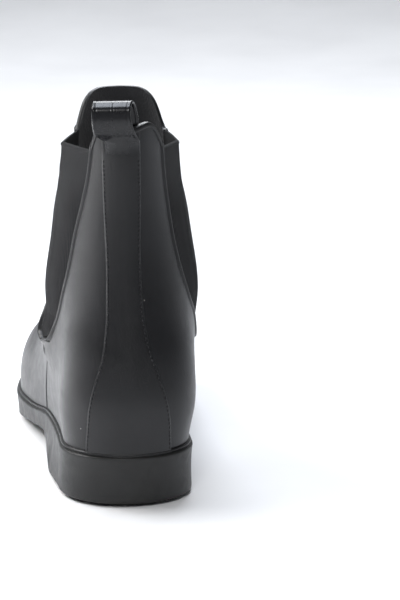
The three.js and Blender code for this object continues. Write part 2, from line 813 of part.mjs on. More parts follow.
const soleTop = (y) => feather(y);
const END = 0.018; // the rounded ends stop short of a point
let sole = toManifold(
  slab(
    [
      [SOLE_LEDGE - 2.2, tread],
      [SOLE_LEDGE - 0.4, (y) => tread(y) + 1.8],
      [SOLE_LEDGE, (y) => (tread(y) + soleTop(y)) / 2],
      [SOLE_LEDGE, soleTop],
    ],
    END,
    1 - END,
    34,
    4,
  ),
);
const POCKET_FLOOR = 9;
const heelPocket = slab([[-8, () => POCKET_FLOOR], [-8, () => 40]], 0.05, 0.26, 8, 4);
const foreRecess = slab([[-7, (y) => soleTop(y) - 2.4], [-7, (y) => soleTop(y) + 5]], 0.5, 0.9, 10, 4);
sole = sole.subtract(toManifold(heelPocket));
sole = sole.subtract(toManifold(foreRecess));
const SHANK = { width: 14, length: 64, y: 58, depth: 2.2 };
const shankTop = (y) => soleTop(y) - GAP;
const shankOutline = (grow) => {
  const outer = [];
  const inner = [];
  for (let i = 0; i <= 8; i++) {
    const y = SHANK.y + (SHANK.length + 2 * grow) * (i / 8 - 0.5);
    const x = SHANK.width / 2 + grow;
    const top = grow > 0 ? soleTop(y) + 4 : shankTop(y);
    const low = soleTop(y) - SHANK.depth - grow;
    outer.push([new THREE.Vector3(-x, y, top), new THREE.Vector3(x, y, top)]);
    inner.push([new THREE.Vector3(-x, y, low), new THREE.Vector3(x, y, low)]);
  }
  return shellSolid(outer, inner);
};
sole = sole.subtract(toManifold(shankOutline(GAP)));
for (const y of [-27, -16, 14]) {
  sole = sole.subtract(box(0, y, 0, 90, GROOVE_WIDTH, 2 * GROOVE_DEPTH));
}
for (const y of [104, 114, 124, 146, 156]) {
  sole = sole.subtract(box(0, y, 0, 120, GROOVE_WIDTH, 2 * GROOVE_DEPTH));
}
for (let y = 166; y <= 206; y += 10) {
  sole = sole.subtract(box(0, y, tread(y), 120, GROOVE_WIDTH, 2 * GROOVE_DEPTH));
}
addPart("outsole", fromManifold(sole), 0x2e2e31, 0.55);

addPart(
  "heel_core",
  slab([[-8 - GAP, () => POCKET_FLOOR + GAP], [-8 - GAP, (y) => soleTop(y) - GAP]], 0.053, 0.257, 8, 4),
  0x55534e,
  0.9,
);
addPart(
  "forefoot_filler",
  slab([[-7 - GAP, (y) => soleTop(y) - 2.4 + GAP], [-7 - GAP, (y) => soleTop(y) - GAP]], 0.503, 0.897, 10, 4),
  0x8a7355,
  0.95,
);
addPart("shank", shankOutline(0), 0x9a9a98, 0.35, 1);

// Raised strip on the ledge of the sole, all the way round the foot of the upper
function foxing() {
  const positions = [];
  const index = [];
  const loop = [];
  const steps = 34;
  for (let i = 0; i <= steps; i++) loop.push([END + ((1 - 2 * END) * i) / steps, 1]);
  for (let i = steps; i >= 0; i--) loop.push([END + ((1 - 2 * END) * i) / steps, -1]);
  const section = [
    [1.8, GAP],
    [SOLE_LEDGE + 0.2, GAP],
    [SOLE_LEDGE + 0.5, GAP + WELT_HEIGHT / 2],
    [SOLE_LEDGE - 0.3, GAP + WELT_HEIGHT],
    [1.8, GAP + WELT_HEIGHT],
  ];
  const n = section.length;
  for (const [t, side] of loop) {
    for (const [off, up] of section) {
      const [x, y] = outline(t, side, off);
      positions.push(x, y, soleTop(y) + up);
    }
  }
  for (let j = 0; j < loop.length; j++) {
    const next = (j + 1) % loop.length;
    for (let k = 0; k < n; k++) {
      const m = (k + 1) % n;
      index.push(j * n + k, j * n + m, next * n + m, j * n + k, next * n + m, next * n + k);
    }
  }
  return rightSideOut(positions, index);
}
addPart("welt_strip", foxing(), 0x29292c, 0.5);

// Board, footbed and its cover, stacked inside the upper
const layer = (inset, low, high) =>
  slab([[-inset, (y) => soleTop(y) + low], [-inset, (y) => soleTop(y) + high]], 0.034, 0.966, 22, 2);
const boardTop = GAP + INSOLE_BOARD;
const footbedTop = boardTop + GAP + FOOTBED;
addPart("insole_board", layer(6.6, GAP, boardTop), 0x9c8461, 0.95);
addPart("footbed", layer(7.2, boardTop + GAP, footbedTop), 0x47474b, 0.95);
addPart("footbed_cover", layer(7.2, footbedTop + GAP, footbedTop + GAP + FOOTBED_COVER), 0x3a3a3f, 0.95);

export default group;
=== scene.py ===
import math
import bmesh
import bpy
import numpy as np
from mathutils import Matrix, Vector


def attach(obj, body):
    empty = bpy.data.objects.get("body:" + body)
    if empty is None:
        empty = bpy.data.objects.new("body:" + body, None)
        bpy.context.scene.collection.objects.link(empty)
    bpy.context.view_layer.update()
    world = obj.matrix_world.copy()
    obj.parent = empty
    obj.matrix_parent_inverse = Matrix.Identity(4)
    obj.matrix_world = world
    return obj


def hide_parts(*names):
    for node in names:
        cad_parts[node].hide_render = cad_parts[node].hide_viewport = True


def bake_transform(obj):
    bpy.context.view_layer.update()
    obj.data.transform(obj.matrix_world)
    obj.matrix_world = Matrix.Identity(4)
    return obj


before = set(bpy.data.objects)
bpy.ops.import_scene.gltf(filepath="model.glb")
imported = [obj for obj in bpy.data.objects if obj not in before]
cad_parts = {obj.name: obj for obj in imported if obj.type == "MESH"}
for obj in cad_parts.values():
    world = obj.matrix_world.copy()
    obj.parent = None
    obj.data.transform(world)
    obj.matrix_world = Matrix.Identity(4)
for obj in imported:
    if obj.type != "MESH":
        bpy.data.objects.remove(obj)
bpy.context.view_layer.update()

mm = 0.001


def station(points, soft=4.0):
    # monotone cubic through the stations, then averaged with a bell curve "soft" mm wide
    x, y = np.array(points, float).T
    slope = np.diff(y) / np.diff(x)
    tangent = np.zeros(len(x))
    tangent[0], tangent[-1] = slope[0], slope[-1]
    product = slope[:-1] * slope[1:]
    total = slope[:-1] + slope[1:]
    tangent[1:-1] = np.where(product > 0, 2 * product / np.where(total == 0, 1, total), 0)
    step = 0.25
    reach = 4 * soft
    fine = np.arange(x[0] - reach, x[-1] + reach + step, step)
    inside = np.clip(fine, x[0], x[-1])
    k = np.clip(np.searchsorted(x, inside, side="right") - 1, 0, len(x) - 2)
    h = x[k + 1] - x[k]
    u = (inside - x[k]) / h
    v = 1 - u
    curve = y[k] * (1 + 2 * u) * v * v + y[k + 1] * u * u * (3 - 2 * u)
    curve += h * u * v * (tangent[k] * v - tangent[k + 1] * u)
    bell = np.exp(-0.5 * (np.arange(-reach, reach + step, step) / soft) ** 2)
    padded = np.pad(curve, len(bell) // 2, mode="edge")
    smooth = np.convolve(padded, bell / bell.sum(), mode="valid")[: len(fine)]
    return lambda t: np.interp(t, fine, smooth)


def unit(v):
    # vectors divided by their own length
    return v / np.linalg.norm(v, axis=-1, keepdims=True)


def lengthAlong(line):
    # distance from the first point to each point of a line
    return np.concatenate([[0], np.cumsum(np.linalg.norm(np.diff(line, axis=0), axis=1))])


def ease(t, start, end):
    # smooth 0 to 1 between start and end
    u = np.clip((t - start) / (end - start), 0, 1)
    return u * u * (3 - 2 * u)


last = {
    "heelRoundY": -8.0, "heelRadius": 31.0, "toeTipY": 231.0, "toeRoundY": 165.0,
    "toeTipHeight": 34.0, "roundPower": 2.3, "legPower": 2.3, "instepBlend": 260.0,
}
# along the foot: plan half width and middle line, instep crest, feather line, tread
planHalf = station([(-60, 31), (0, 31), (60, 32.5), (105, 39), (145, 45), (180, 44.5), (240, 43)], 8)
planMiddle = station([(-60, 0), (0, 0), (60, -1.5), (110, -3.2), (145, -2), (180, 1.5), (231, 8)], 8)
crest = station([(-60, 104), (-20, 108), (60, 122), (80, 112), (95, 98), (110, 86), (130, 76), (150, 69),
                 (170, 63.5), (190, 59), (205, 55)], 6)
feather = station([(-40, 25), (25, 25), (60, 22.5), (100, 17), (140, 15.5), (180, 16), (210, 18.5),
                   (236, 23)], 6)
treadLine = station([(24, 0), (28, 3), (31, 7), (50, 8.5), (70, 5), (98, 0), (155, 0), (175, 1), (200, 3.5),
                     (236, 9)], 1.2)
# the waist of the sole is cut higher along its outer edge, and the outer wall of the heel flares
edgeRise = station([(44, 0), (60, 3.0), (80, 8.0), (100, 7.8), (115, 5.8), (130, 4.2), (150, 2.2), (175, 0.5),
                    (190, 0)], 4)
heelFlare = station([(-24, 0), (-12, 0.5), (0, 1.6), (10, 2.8), (22, 3.7), (32, 3.4), (44, 2.2), (60, 0.8),
                     (75, 0)], 3)
# up the leg: back and front profile, half width, fuller front, turn and lean of the leg, fuller heel
backLine = station([(40, -34), (80, -35.5), (100, -33.5), (120, -31), (140, -30.5), (170, -32.5),
                    (205, -35)], 7)
frontLine = station([(40, 60), (80, 80), (100, 80), (120, 75.5), (140, 73.5), (170, 75), (205, 79)], 7)
legHalf = station([(30, 18), (60, 34), (80, 36.5), (100, 35.5), (120, 33), (140, 30.5), (170, 28),
                   (205, 28)], 7)
frontFuller = station([(60, 0.05), (100, 0.12), (140, 0.18), (205, 0.22)], 7)
legTurn = station([(60, 0), (90, 0.03), (130, 0.07), (205, 0.075)], 7)
legLean = station([(28, 0), (45, 1), (75, 2.6), (110, 2.2), (150, 1.4), (205, 1.4)], 7)
heelFuller = station([(20, -0.8), (28, -0.1), (50, 3), (75, 2.5), (90, -1), (120, -4)], 5)
stayHalf = {
    -1: station([(25, 21.3), (38, 21.1), (45, 21.2), (52, 20.5), (60, 18.8), (67, 16.6), (74, 14.6),
                 (82, 13.1),
                 (91, 11.6), (100, 10.7), (125, 9.1), (168, 9.6)], 3),
    1: station([(25, 20.1), (36, 19.4), (44, 18.4), (53, 16.2), (62.5, 12.8), (72, 9.7), (81.6, 7.6),
                (91, 6.6),
                (100, 6.6), (125, 7.6), (150, 8.5), (168, 8.4)], 3),
}
# the outer side stands out round the foot of its elastic, where the ankle widens into the instep
swellAlong = station([(-20, 0), (0, 0.12), (12, 0.4), (25, 0.78), (40, 1), (55, 0.9), (75, 0.5), (95, 0.18),
                      (120, 0)], 4)
swellUp = station([(18, 0), (28, 0.1), (38, 0.26), (48, 0.48), (56, 0.7), (64, 0.92), (71, 1), (76, 0.88),
                   (80, 0.64), (84, 0.4), (88, 0.22), (94, 0.07), (104, 0)], 2)
ankleSwell = 7.0
# seams: y of the edge at a height z
frontSeam = station([(20, 68), (34, 67), (43, 62.5), (51, 53), (58, 39.5), (63, 31), (67, 27), (70.6, 27.2),
                     (71.4, 31), (72.8, 33.4), (76, 34.8), (80, 36.2), (88, 41.5), (100, 48.5), (130, 54),
                     (170, 59)], 0.7)
rearSeam = {
    -1: station([(69.8, 30), (70.6, 27), (71.1, 23.5), (72.0, 19), (73.6, 15.6), (76, 13), (79.4, 10.8),
                 (85.6, 6.6), (93, 2.5), (110, -4.6), (129, -9), (144, -13.8), (158, -18), (172, -21)], 0.7),
    1: station([(69.8, 30), (70.6, 27), (71.1, 23.5), (72.0, 19), (73.6, 15.6), (76, 13), (79.4, 10.6),
                (86, 5.4), (97, -3), (116, -8), (146, -10), (160, -11.5), (175, -13)], 0.7),
}
goreFoot = 70.6


def halfSquared(y, z):
    # squared half width: a foot (rounded plan, closing towards the crest) softly joined to an oval leg
    back = last["heelRadius"] + heelFuller(z)
    u = np.maximum((last["heelRoundY"] - y) / back, 0)
    t = np.maximum((y - last["toeRoundY"]) / (last["toeTipY"] - last["toeRoundY"]), 0)
    half = planHalf(y) * (1 + heelFuller(z) / last["heelRadius"] * ease(y, 44, -14))
    plan = half * half * np.minimum(1 - u ** last["roundPower"], 1 - t ** last["roundPower"])
    e = np.clip((y - 205) / (last["toeTipY"] - 205), 0, 1)
    top = last["toeTipHeight"] + (crest(y) - last["toeTipHeight"]) * np.sqrt(1 - e * e)
    wide = np.minimum(feather(y) + 9, top - 6)
    eta = (z - wide) / (top - wide)
    power = 3 - 0.65 * ease(y, 35, 95)
    fall = np.where(eta > 0, 1 - np.abs(eta) ** power, 1 - 0.3 * eta * eta)
    foot = np.where(plan > 0, plan * fall, np.where(fall < 0, plan + fall * 900, plan))
    a = (frontLine(z) - backLine(z)) / 2
    v = (y - (frontLine(z) + backLine(z)) / 2) / a
    w = legHalf(z) * (1 + frontFuller(z) * v)
    leg = w * w * (1 - np.abs(v) ** last["legPower"])
    rear = plan + (leg - plan) * ease(z, 40, 106)
    k = last["instepBlend"]
    h = np.clip(0.5 + 0.5 * (foot - leg) / k, 0, 1)
    joined = leg + (foot - leg) * h + k * h * (1 - h)
    return rear + (joined - rear) * ease(y, -10, 40)


def middleX(y, z):
    # middle line in plan, with the ridge of the instep and the lean and turn of the leg
    foot = planMiddle(y) * ease(z, 112, 46) + 4 * ease(y, 66, 114) * ease(z, 16, 74)
    return foot + legTurn(z) * (y - 20) + legLean(z) * ease(y, 126, 54)


def bisect(inside, outside, z):
    # y where the slice at height z ends, by halving between a point inside it and one outside
    a = np.full(z.shape, float(inside))
    b = np.full(z.shape, float(outside))
    for _ in range(40):
        m = (a + b) / 2
        solid = halfSquared(m, z) > 0
        a, b = np.where(solid, m, a), np.where(solid, b, m)
    return a


endZ = np.arange(8, 214, 0.5)
endBack, endFront = bisect(20, -80, endZ), bisect(20, 245, endZ)


def field(p):
    # zero on the boot's surface, positive outside
    return (p[..., 0] - middleX(p[..., 1], p[..., 2])) ** 2 - halfSquared(p[..., 1], p[..., 2])


def fieldSlope(p, h=0.3):
    # slope of the field by central differences
    steps = np.eye(3) * h
    return np.stack([(field(p + steps[k]) - field(p - steps[k])) / (2 * h) for k in range(3)], -1)


def onSkin(points, off=0.0):
    # nearest point of the surface by Newton steps down the field's slope, then out along the normal by off
    p = np.array(points, float)
    for _ in range(4):
        g = fieldSlope(p)
        p = p - g * (field(p) / np.maximum((g * g).sum(-1), 1e-6))[..., None]
    g = fieldSlope(p)
    n = unit(g)
    return p + n * np.asarray(off, float)[..., None], n


def sliceEnds(z):
    # rearmost and foremost y of the slice at height z: table lookup, then two Newton steps
    ends = []
    for table in (endBack, endFront):
        y = np.interp(z, endZ, table)
        for _ in range(2):
            h = 0.05
            slope = (halfSquared(y + h, z) - halfSquared(y - h, z)) / (2 * h)
            y = y - np.clip(halfSquared(y, z) / slope, -0.5, 0.5)
        ends.append(y)
    return ends


def ringAt(y, z):
    # place round a slice: 0 at the back, 1 at the front
    back, front = sliceEnds(z)
    return np.arccos(np.clip(1 - 2 * (y - back) / (front - back), -1, 1)) / np.pi


def skin(ring, z, off=0.0):
    # point of the boot's surface at (ring, z), moved out along the normal of the implicit surface by off
    ring, z, off = np.broadcast_arrays(np.asarray(ring, float), np.asarray(z, float), np.asarray(off, float))
    s = (ring + 1) % 2 - 1
    back, front = sliceEnds(z)
    y = back + (front - back) * (1 - np.cos(np.pi * np.abs(s))) / 2
    side = np.where(ring > 1, -1, np.sign(s))
    dx = side * np.sqrt(np.maximum(halfSquared(y, z), 0))
    h = 0.3
    qy = (halfSquared(y + h, z) - halfSquared(y - h, z)) / (2 * h)
    qz = (halfSquared(y, z + h) - halfSquared(y, z - h)) / (2 * h)
    my = (middleX(y + h, z) - middleX(y - h, z)) / (2 * h)
    mz = (middleX(y, z + h) - middleX(y, z - h)) / (2 * h)
    n = unit(np.stack([2 * dx, -2 * dx * my - qy, -2 * dx * mz - qz], -1))
    swell = np.where(side < 0, ankleSwell * swellAlong(y) * swellUp(z), 0)
    return np.stack([dx + middleX(y, z), y, z], -1) + n * (off + swell)[..., None]


def stripRing(side):
    # ring of the back strip's edge at each height of the table, by halving on the strip's half width
    low, high = endBack.copy(), np.full(endZ.shape, 20.0)
    for _ in range(30):
        m = (low + high) / 2
        narrow = halfSquared(m, endZ) < stayHalf[side](endZ) ** 2
        low, high = np.where(narrow, m, low), np.where(narrow, high, m)
    return ringAt(low, endZ)


stayRing = {side: stripRing(side) for side in (-1, 1)}


def stayEdge(z, side):
    # ring of the back strip's edge at a height, read from the table
    return np.interp(z, endZ, stayRing[side])


def quarterSeam(z, side):
    # front edge of a quarter: the seam with the vamp, then round the foot of the U and up behind the elastic
    return np.where(z < goreFoot, frontSeam(z), np.minimum(rearSeam[side](z), frontSeam(z)))


def quarterEdge(z, side):
    # the same seam as a ring
    return ringAt(quarterSeam(z, side), z)


def bothSides(edge, sign, z):
    # an edge at height z, taken from the side of the boot that the sign is on
    return np.where(sign < 0, edge(z, -1), edge(z, 1))


def ringPerMm(stay, z, side):
    # how far a millimetre round the surface moves the ring, at the edge of the back strip
    return stay / np.maximum(stayHalf[side](z) * 1.06, 1)


def frontEdge(z):
    # ring of the front's edge at a height
    return ringAt(frontSeam(z), z)


def gridFaces(rows, columns, start=0, wrap=False):
    # quads of a grid of points, row by row; wrap joins the last column to the first
    i = np.arange(rows - 1)[:, None]
    j = np.arange(columns if wrap else columns - 1)[None, :]
    k = (j + 1) % columns
    quads = np.stack([i * columns + j, i * columns + k, (i + 1) * columns + k, (i + 1) * columns + j], -1)
    return quads.reshape(-1, 4) + start


def stripFaces(a, b):
    # quads between two lines of vertex numbers of the same length
    return np.stack([a[:-1], a[1:], b[1:], b[:-1]], -1)


def makePiece(name, points, faces, uv=None, sharp=38):
    # mesh from points in millimetres and quads; a closed one is turned right side out by its volume
    p = np.asarray(points, float).reshape(-1, 3)
    f = np.concatenate([np.asarray(part).reshape(-1, 4) for part in faces])
    a, b, c, d = (p[f[:, k]] for k in range(4))
    volume = np.einsum("ij,ij->i", a, np.cross(b, c) + np.cross(c, d)).sum()
    if volume < 0:
        f = f[:, ::-1]
    mesh = bpy.data.meshes.new(name)
    mesh.vertices.add(len(p))
    mesh.vertices.foreach_set("co", (p * mm).ravel())
    mesh.loops.add(f.size)
    mesh.loops.foreach_set("vertex_index", f.ravel())
    mesh.polygons.add(len(f))
    mesh.polygons.foreach_set("loop_start", np.arange(len(f)) * 4)
    mesh.update(calc_edges=True)
    mesh.validate()
    mesh.polygons.foreach_set("use_smooth", np.ones(len(mesh.polygons), bool))
    mesh.set_sharp_from_angle(angle=math.radians(sharp))
    if uv is not None:
        layer = mesh.uv_layers.new(name="UVMap")
        corner = np.empty(len(mesh.loops), np.int32)
        mesh.loops.foreach_get("vertex_index", corner)
        layer.data.foreach_set("uv", np.asarray(uv, float).reshape(-1, 2)[corner].ravel())
    piece = bpy.data.objects.new(name, mesh)
    bpy.context.scene.collection.objects.link(piece)
    return piece


def shellPiece(name, outer, inner, uv=None, sharp=38):
    # closed wall between an outer and an inner grid of the same size
    rows, columns = outer.shape[:2]
    size = rows * columns
    number = np.arange(size).reshape(rows, columns)
    edge = np.concatenate([number[0], number[1:, -1], number[-1, -2::-1], number[-2:0:-1, 0]])
    edge = np.append(edge, edge[0])
    faces = [gridFaces(rows, columns), gridFaces(rows, columns, size)[:, ::-1],
             stripFaces(edge, edge + size)[:, ::-1]]
    points = np.concatenate([outer.reshape(-1, 3), inner.reshape(-1, 3)])
    if uv is not None:
        uv = np.concatenate([uv.reshape(-1, 2)] * 2)
    return makePiece(name, points, faces, uv, sharp)


def closedRing(name, loops, sharp=38):
    # closed profiles carried round a ring: loops is path x profile x 3, and the last profile joins the first
    rows, columns = loops.shape[:2]
    faces = gridFaces(rows + 1, columns, 0, True) % (rows * columns)
    return makePiece(name, loops, [faces], None, sharp)


def closedSweep(name, loops, sharp=38):
    # closed profiles carried along a path and capped at both ends: loops is path x profile x 3
    rows, columns = loops.shape[:2]
    half = columns // 2
    caps = []
    for start in (0, (rows - 1) * columns):
        a = start + np.arange(half)
        b = start + columns - 1 - np.arange(half)
        cap = stripFaces(a, b)
        caps.append(cap if start == 0 else cap[:, ::-1])
    return makePiece(name, loops, [gridFaces(rows, columns, 0, True)] + caps, None, sharp)


def weld(piece, distance=0.00001):
    # joins the points that meet along the middle line
    work = bmesh.new()
    work.from_mesh(piece.data)
    bmesh.ops.remove_doubles(work, verts=work.verts, dist=distance)
    bmesh.ops.dissolve_degenerate(work, edges=work.edges, dist=distance)
    bmesh.ops.recalc_face_normals(work, faces=work.faces)
    work.to_mesh(piece.data)
    work.free()
    piece.data.set_sharp_from_angle(angle=math.radians(45))


# the lining lies between two depths under the skin, and closes up to the rubber by "tuck" at the top edge
upper = {"featherZ": 25.0, "goreTop": 170.0, "rubber": 2.2, "liningFace": -2.3, "liningBack": -3.4,
         "tuck": 0.5}
frontDomeRise = station([(-30, 0), (-24.4, 0), (-23.4, 0.8), (-22, 4.6), (-20.1, 10.2), (-18.6, 13.8),
                         (-16.8, 16.6),
                         (-13.5, 19.5), (-9.6, 20.7), (0, 21.0), (9.6, 20.7), (13.5, 19.5),
                         (16.8, 16.6), (18.6, 13.8),
                         (20.1, 10.2), (22, 4.6), (23.4, 0.8), (24.4, 0), (30, 0)], 0.6)


def settle(z, y):
    # the lowest rows follow the feather line
    return z + (feather(y) - 0.4 - upper["featherZ"]) * (1 - ease(z, upper["featherZ"], 58))


def liftBack(topRing, z):
    # the rear panels' rows rise towards the ears by the dome curve, read at the share of the way to the
    # front edge
    edge = bothSides(quarterEdge, topRing, np.full(z.shape, upper["goreTop"]))
    share = np.clip(np.abs(topRing) / edge, 0, 1.05)
    return z + np.interp(share, domeShare, domeRise) * ease(z, 138, 170)


domeShare = np.linspace(0, 1.1, 221)
domeRise = np.interp(domeShare, [0, 0.3, 0.5, 0.62, 0.72, 0.8, 0.88, 0.95, 1.0, 1.1],
                     [11.0, 12.4, 13.8, 14.3, 13.2, 10.9, 7.6, 4.2, 1.9, 0.4])
domeRise = np.convolve(np.pad(domeRise, 6, mode="edge"), np.hanning(13) / np.hanning(13).sum(), mode="valid")


def liftFront(topRing, z):
    # the front's rows rise by the front dome, read at the distance from the middle line
    top = upper["goreTop"]
    x = skin(topRing, np.full(z.shape, top))[..., 0] - float(middleX(70.0, top)) + 1.0
    return z + frontDomeRise(x) * ease(z, 108, 170)


def footRows(rows, ring):
    # heights of a panel's points: its rows, with the lowest ones laid along the feather line
    return settle(rows[:, None], skin(ring, np.broadcast_to(rows[:, None], ring.shape))[..., 1])


def panelRows(*spans):
    # heights of the rows: (from, to, step) spans joined
    rows = [np.arange(a, b - 1e-6, step) for a, b, step in spans]
    return np.unique(np.concatenate(rows + [[spans[-1][1]]]))


# distance in from a panel's edge and height of the surface there: rounded lip, flat bead, fine groove, field
lipProfile = np.array([(0.0, -1.1), (0.04, -0.6), (0.15, -0.05), (0.4, 0.38), (0.75, 0.6), (1.1, 0.66),
                       (1.5, 0.56),
                       (1.85, 0.3), (2.1, 0.02), (2.3, -0.18), (2.5, -0.22), (2.8, -0.12), (3.2, -0.03),
                       (4.0, 0.0)])
stayProfile = np.array([(0.0, -0.9), (0.04, -0.5), (0.15, 0.1), (0.4, 0.55), (0.8, 0.86), (1.2, 0.97),
                        (1.7, 1.0),
                        (2.4, 1.0)])
# the lap below the elastic, at the same distances: the vamp's edge is a low band, the quarter's edge runs
# in under it
lapOver = np.array([-0.3, 0.0, 0.12, 0.24, 0.3, 0.33, 0.34, 0.34, 0.33, 0.31, 0.27, 0.18, 0.07, 0.0])
lapUnder = np.array([-1.0, -0.7, -0.4, -0.3, -0.25, -0.1, 0.0, 0.0, 0.0, 0.0, 0.0, 0.0, 0.0, 0.0])
lapReach = 0.9


def goreFootLine(side):
    # the U round the foot of the elastic, as y and z: up its rear seam, then up its front seam
    z = np.arange(goreFoot, 88, 0.25)
    return np.concatenate([np.stack([rearSeam[side](z), z], -1), np.stack([frontSeam(z), z], -1)])


footLine = {side: goreFootLine(side) for side in (-1, 1)}
rimHigher = {"amount": 1.0, "z": 70.0, "spread": 7.0}  # the rim stands higher round the foot of the U


def rimHeight(side, y, z, columnHeight, lap):
    # round the foot of the elastic the lip follows the distance to its U; below it is the lap, above it
    # the columns
    gap = (y[..., None] - footLine[side][:, 0]) ** 2 + (z[..., None] - footLine[side][:, 1]) ** 2
    near = np.interp(np.sqrt(gap.min(-1)), lipProfile[:, 0], lipProfile[:, 1])
    higher = 1 + rimHigher["amount"] * np.exp(-((z - rimHigher["z"]) / rimHigher["spread"]) ** 2)
    near = np.where(near > 0, near * higher, near)
    low = lap + (near - lap) * ease(z, 64, 68)
    return low + (columnHeight - low) * ease(z, 79, 84)


def edgeColumns(z, seamY, seamSlope, distances, inward, widest=16.0):
    # rings of columns at true distances from a seam that runs at a slope through the rows
    stretch = np.minimum(np.sqrt(1 + seamSlope ** 2), widest / 4)
    y = seamY[:, None] + inward * stretch[:, None] * distances[None, :]
    return ringAt(y, np.broadcast_to(z[:, None], y.shape))


def slopeOf(curve, z):
    # slope of a seam at a height, by a central difference
    return (curve(z + 0.4) - curve(z - 0.4)) / 0.8


def linear(hexColour):
    # sRGB hex to linear
    c = np.array([int(hexColour[k:k + 2], 16) for k in (1, 3, 5)]) / 255
    c = np.where(c <= 0.04045, c / 12.92, ((c + 0.055) / 1.055) ** 2.4)
    return (*c.tolist(), 1.0)


def addNode(tree, kind, settings=None, links=None):
    # a node with its settings (attributes or input values) and its incoming links
    node = tree.nodes.new(kind)
    for key, value in (settings or {}).items():
        if isinstance(key, str) and hasattr(node, key):
            setattr(node, key, value)
        else:
            node.inputs[key].default_value = value
    for key, source in (links or {}).items():
        tree.links.new(source, node.inputs[key])
    return node


def ramp(tree, source, stops):
    # colour or grey ramp of (position, colour) stops
    node = addNode(tree, "ShaderNodeValToRGB", {}, {"Fac": source})
    elements = node.color_ramp.elements
    while len(elements) < len(stops):
        elements.new(0.5)
    for element, (place, colour) in zip(elements, stops):
        element.position = place
        element.color = colour if len(colour) == 4 else (*colour, 1.0)
    return node.outputs["Color"]


def newMaterial(name, base, constants):
    # a material with its colour and constant values set on the shader's own sockets
    material = bpy.data.materials.new(name)
    material.use_nodes = True
    tree = material.node_tree
    shader = tree.nodes["Principled BSDF"]
    shader.inputs["Base Color"].default_value = base
    for key, value in constants.items():
        shader.inputs[key].default_value = value
    return material, tree, shader


def rubberMaterial(name, colours, gloss, grain=1.0, dust=1.0):
    # injection-moulded soft PVC from a sandblasted mould: near-black, satin, with a micro grain that
    # breaks the
    # highlight, slow waves where the wall thickness changes, cloudy handling marks and a few specks of dust
    material, tree, shader = newMaterial(name, linear(colours[0]), {"IOR": 1.53, "Metallic": 0.0,
                                                                    "Specular IOR Level": 0.4})
    place = addNode(tree, "ShaderNodeTexCoord").outputs["Object"]
    cloud = addNode(tree, "ShaderNodeTexNoise", {"Scale": 38.0, "Detail": 5.0, "Roughness": 0.6},
                    {"Vector": place})
    smear = addNode(tree, "ShaderNodeTexNoise", {"Scale": 150.0, "Detail": 3.0, "Distortion": 0.8},
                    {"Vector": place})
    fine = addNode(tree, "ShaderNodeTexNoise", {"Scale": 2200.0, "Detail": 2.0}, {"Vector": place})
    grainTex = addNode(tree, "ShaderNodeTexVoronoi", {"Scale": 1500.0}, {"Vector": place})
    wave = addNode(tree, "ShaderNodeTexNoise", {"Scale": 55.0, "Detail": 1.0}, {"Vector": place})
    speckCell = addNode(tree, "ShaderNodeTexVoronoi", {"Scale": 130.0}, {"Vector": place})
    speckRandom = addNode(tree, "ShaderNodeSeparateColor", {}, {"Color": speckCell.outputs["Color"]})
    isSpeck = addNode(tree, "ShaderNodeMath", {"operation": "GREATER_THAN", 1: 0.93},
                      {0: speckRandom.outputs["Red"]})
    inSpeck = addNode(tree, "ShaderNodeMath", {"operation": "LESS_THAN", 1: 0.045},
                      {0: speckCell.outputs["Distance"]})
    speck = addNode(tree, "ShaderNodeMath", {"operation": "MULTIPLY"},
                    {0: isSpeck.outputs[0], 1: inSpeck.outputs[0]}).outputs[0]
    speck = addNode(tree, "ShaderNodeMath", {"operation": "MULTIPLY", 1: dust}, {0: speck}).outputs[0]
    tone = ramp(tree, cloud.outputs["Fac"], [(0.35, linear(colours[0])), (0.7, linear(colours[1]))])
    dusty = addNode(tree, "ShaderNodeMix", {"data_type": "RGBA", 7: linear("#8f8b86")}, {0: speck, 6: tone})
    tree.links.new(dusty.outputs[2], shader.inputs["Base Color"])
    rough = addNode(tree, "ShaderNodeMapRange", {"From Min": 0.3, "From Max": 0.75, "To Min": gloss[0],
                                                 "To Max": gloss[1]}, {"Value": smear.outputs["Fac"]})
    roughSpeck = addNode(tree, "ShaderNodeMath", {"operation": "MAXIMUM"}, {0: rough.outputs[0], 1: speck})
    tree.links.new(roughSpeck.outputs[0], shader.inputs["Roughness"])
    low = addNode(tree, "ShaderNodeBump", {"Strength": 0.05, "Distance": 0.0009},
                  {"Height": wave.outputs["Fac"]})
    pebble = addNode(tree, "ShaderNodeBump", {"Strength": 0.30 * grain, "Distance": 0.00012},
                     {"Height": grainTex.outputs["Distance"], "Normal": low.outputs[0]})
    micro = addNode(tree, "ShaderNodeBump", {"Strength": 0.22 * grain, "Distance": 0.00006},
                    {"Height": fine.outputs["Fac"], "Normal": pebble.outputs[0]})
    tree.links.new(micro.outputs[0], shader.inputs["Normal"])
    return material


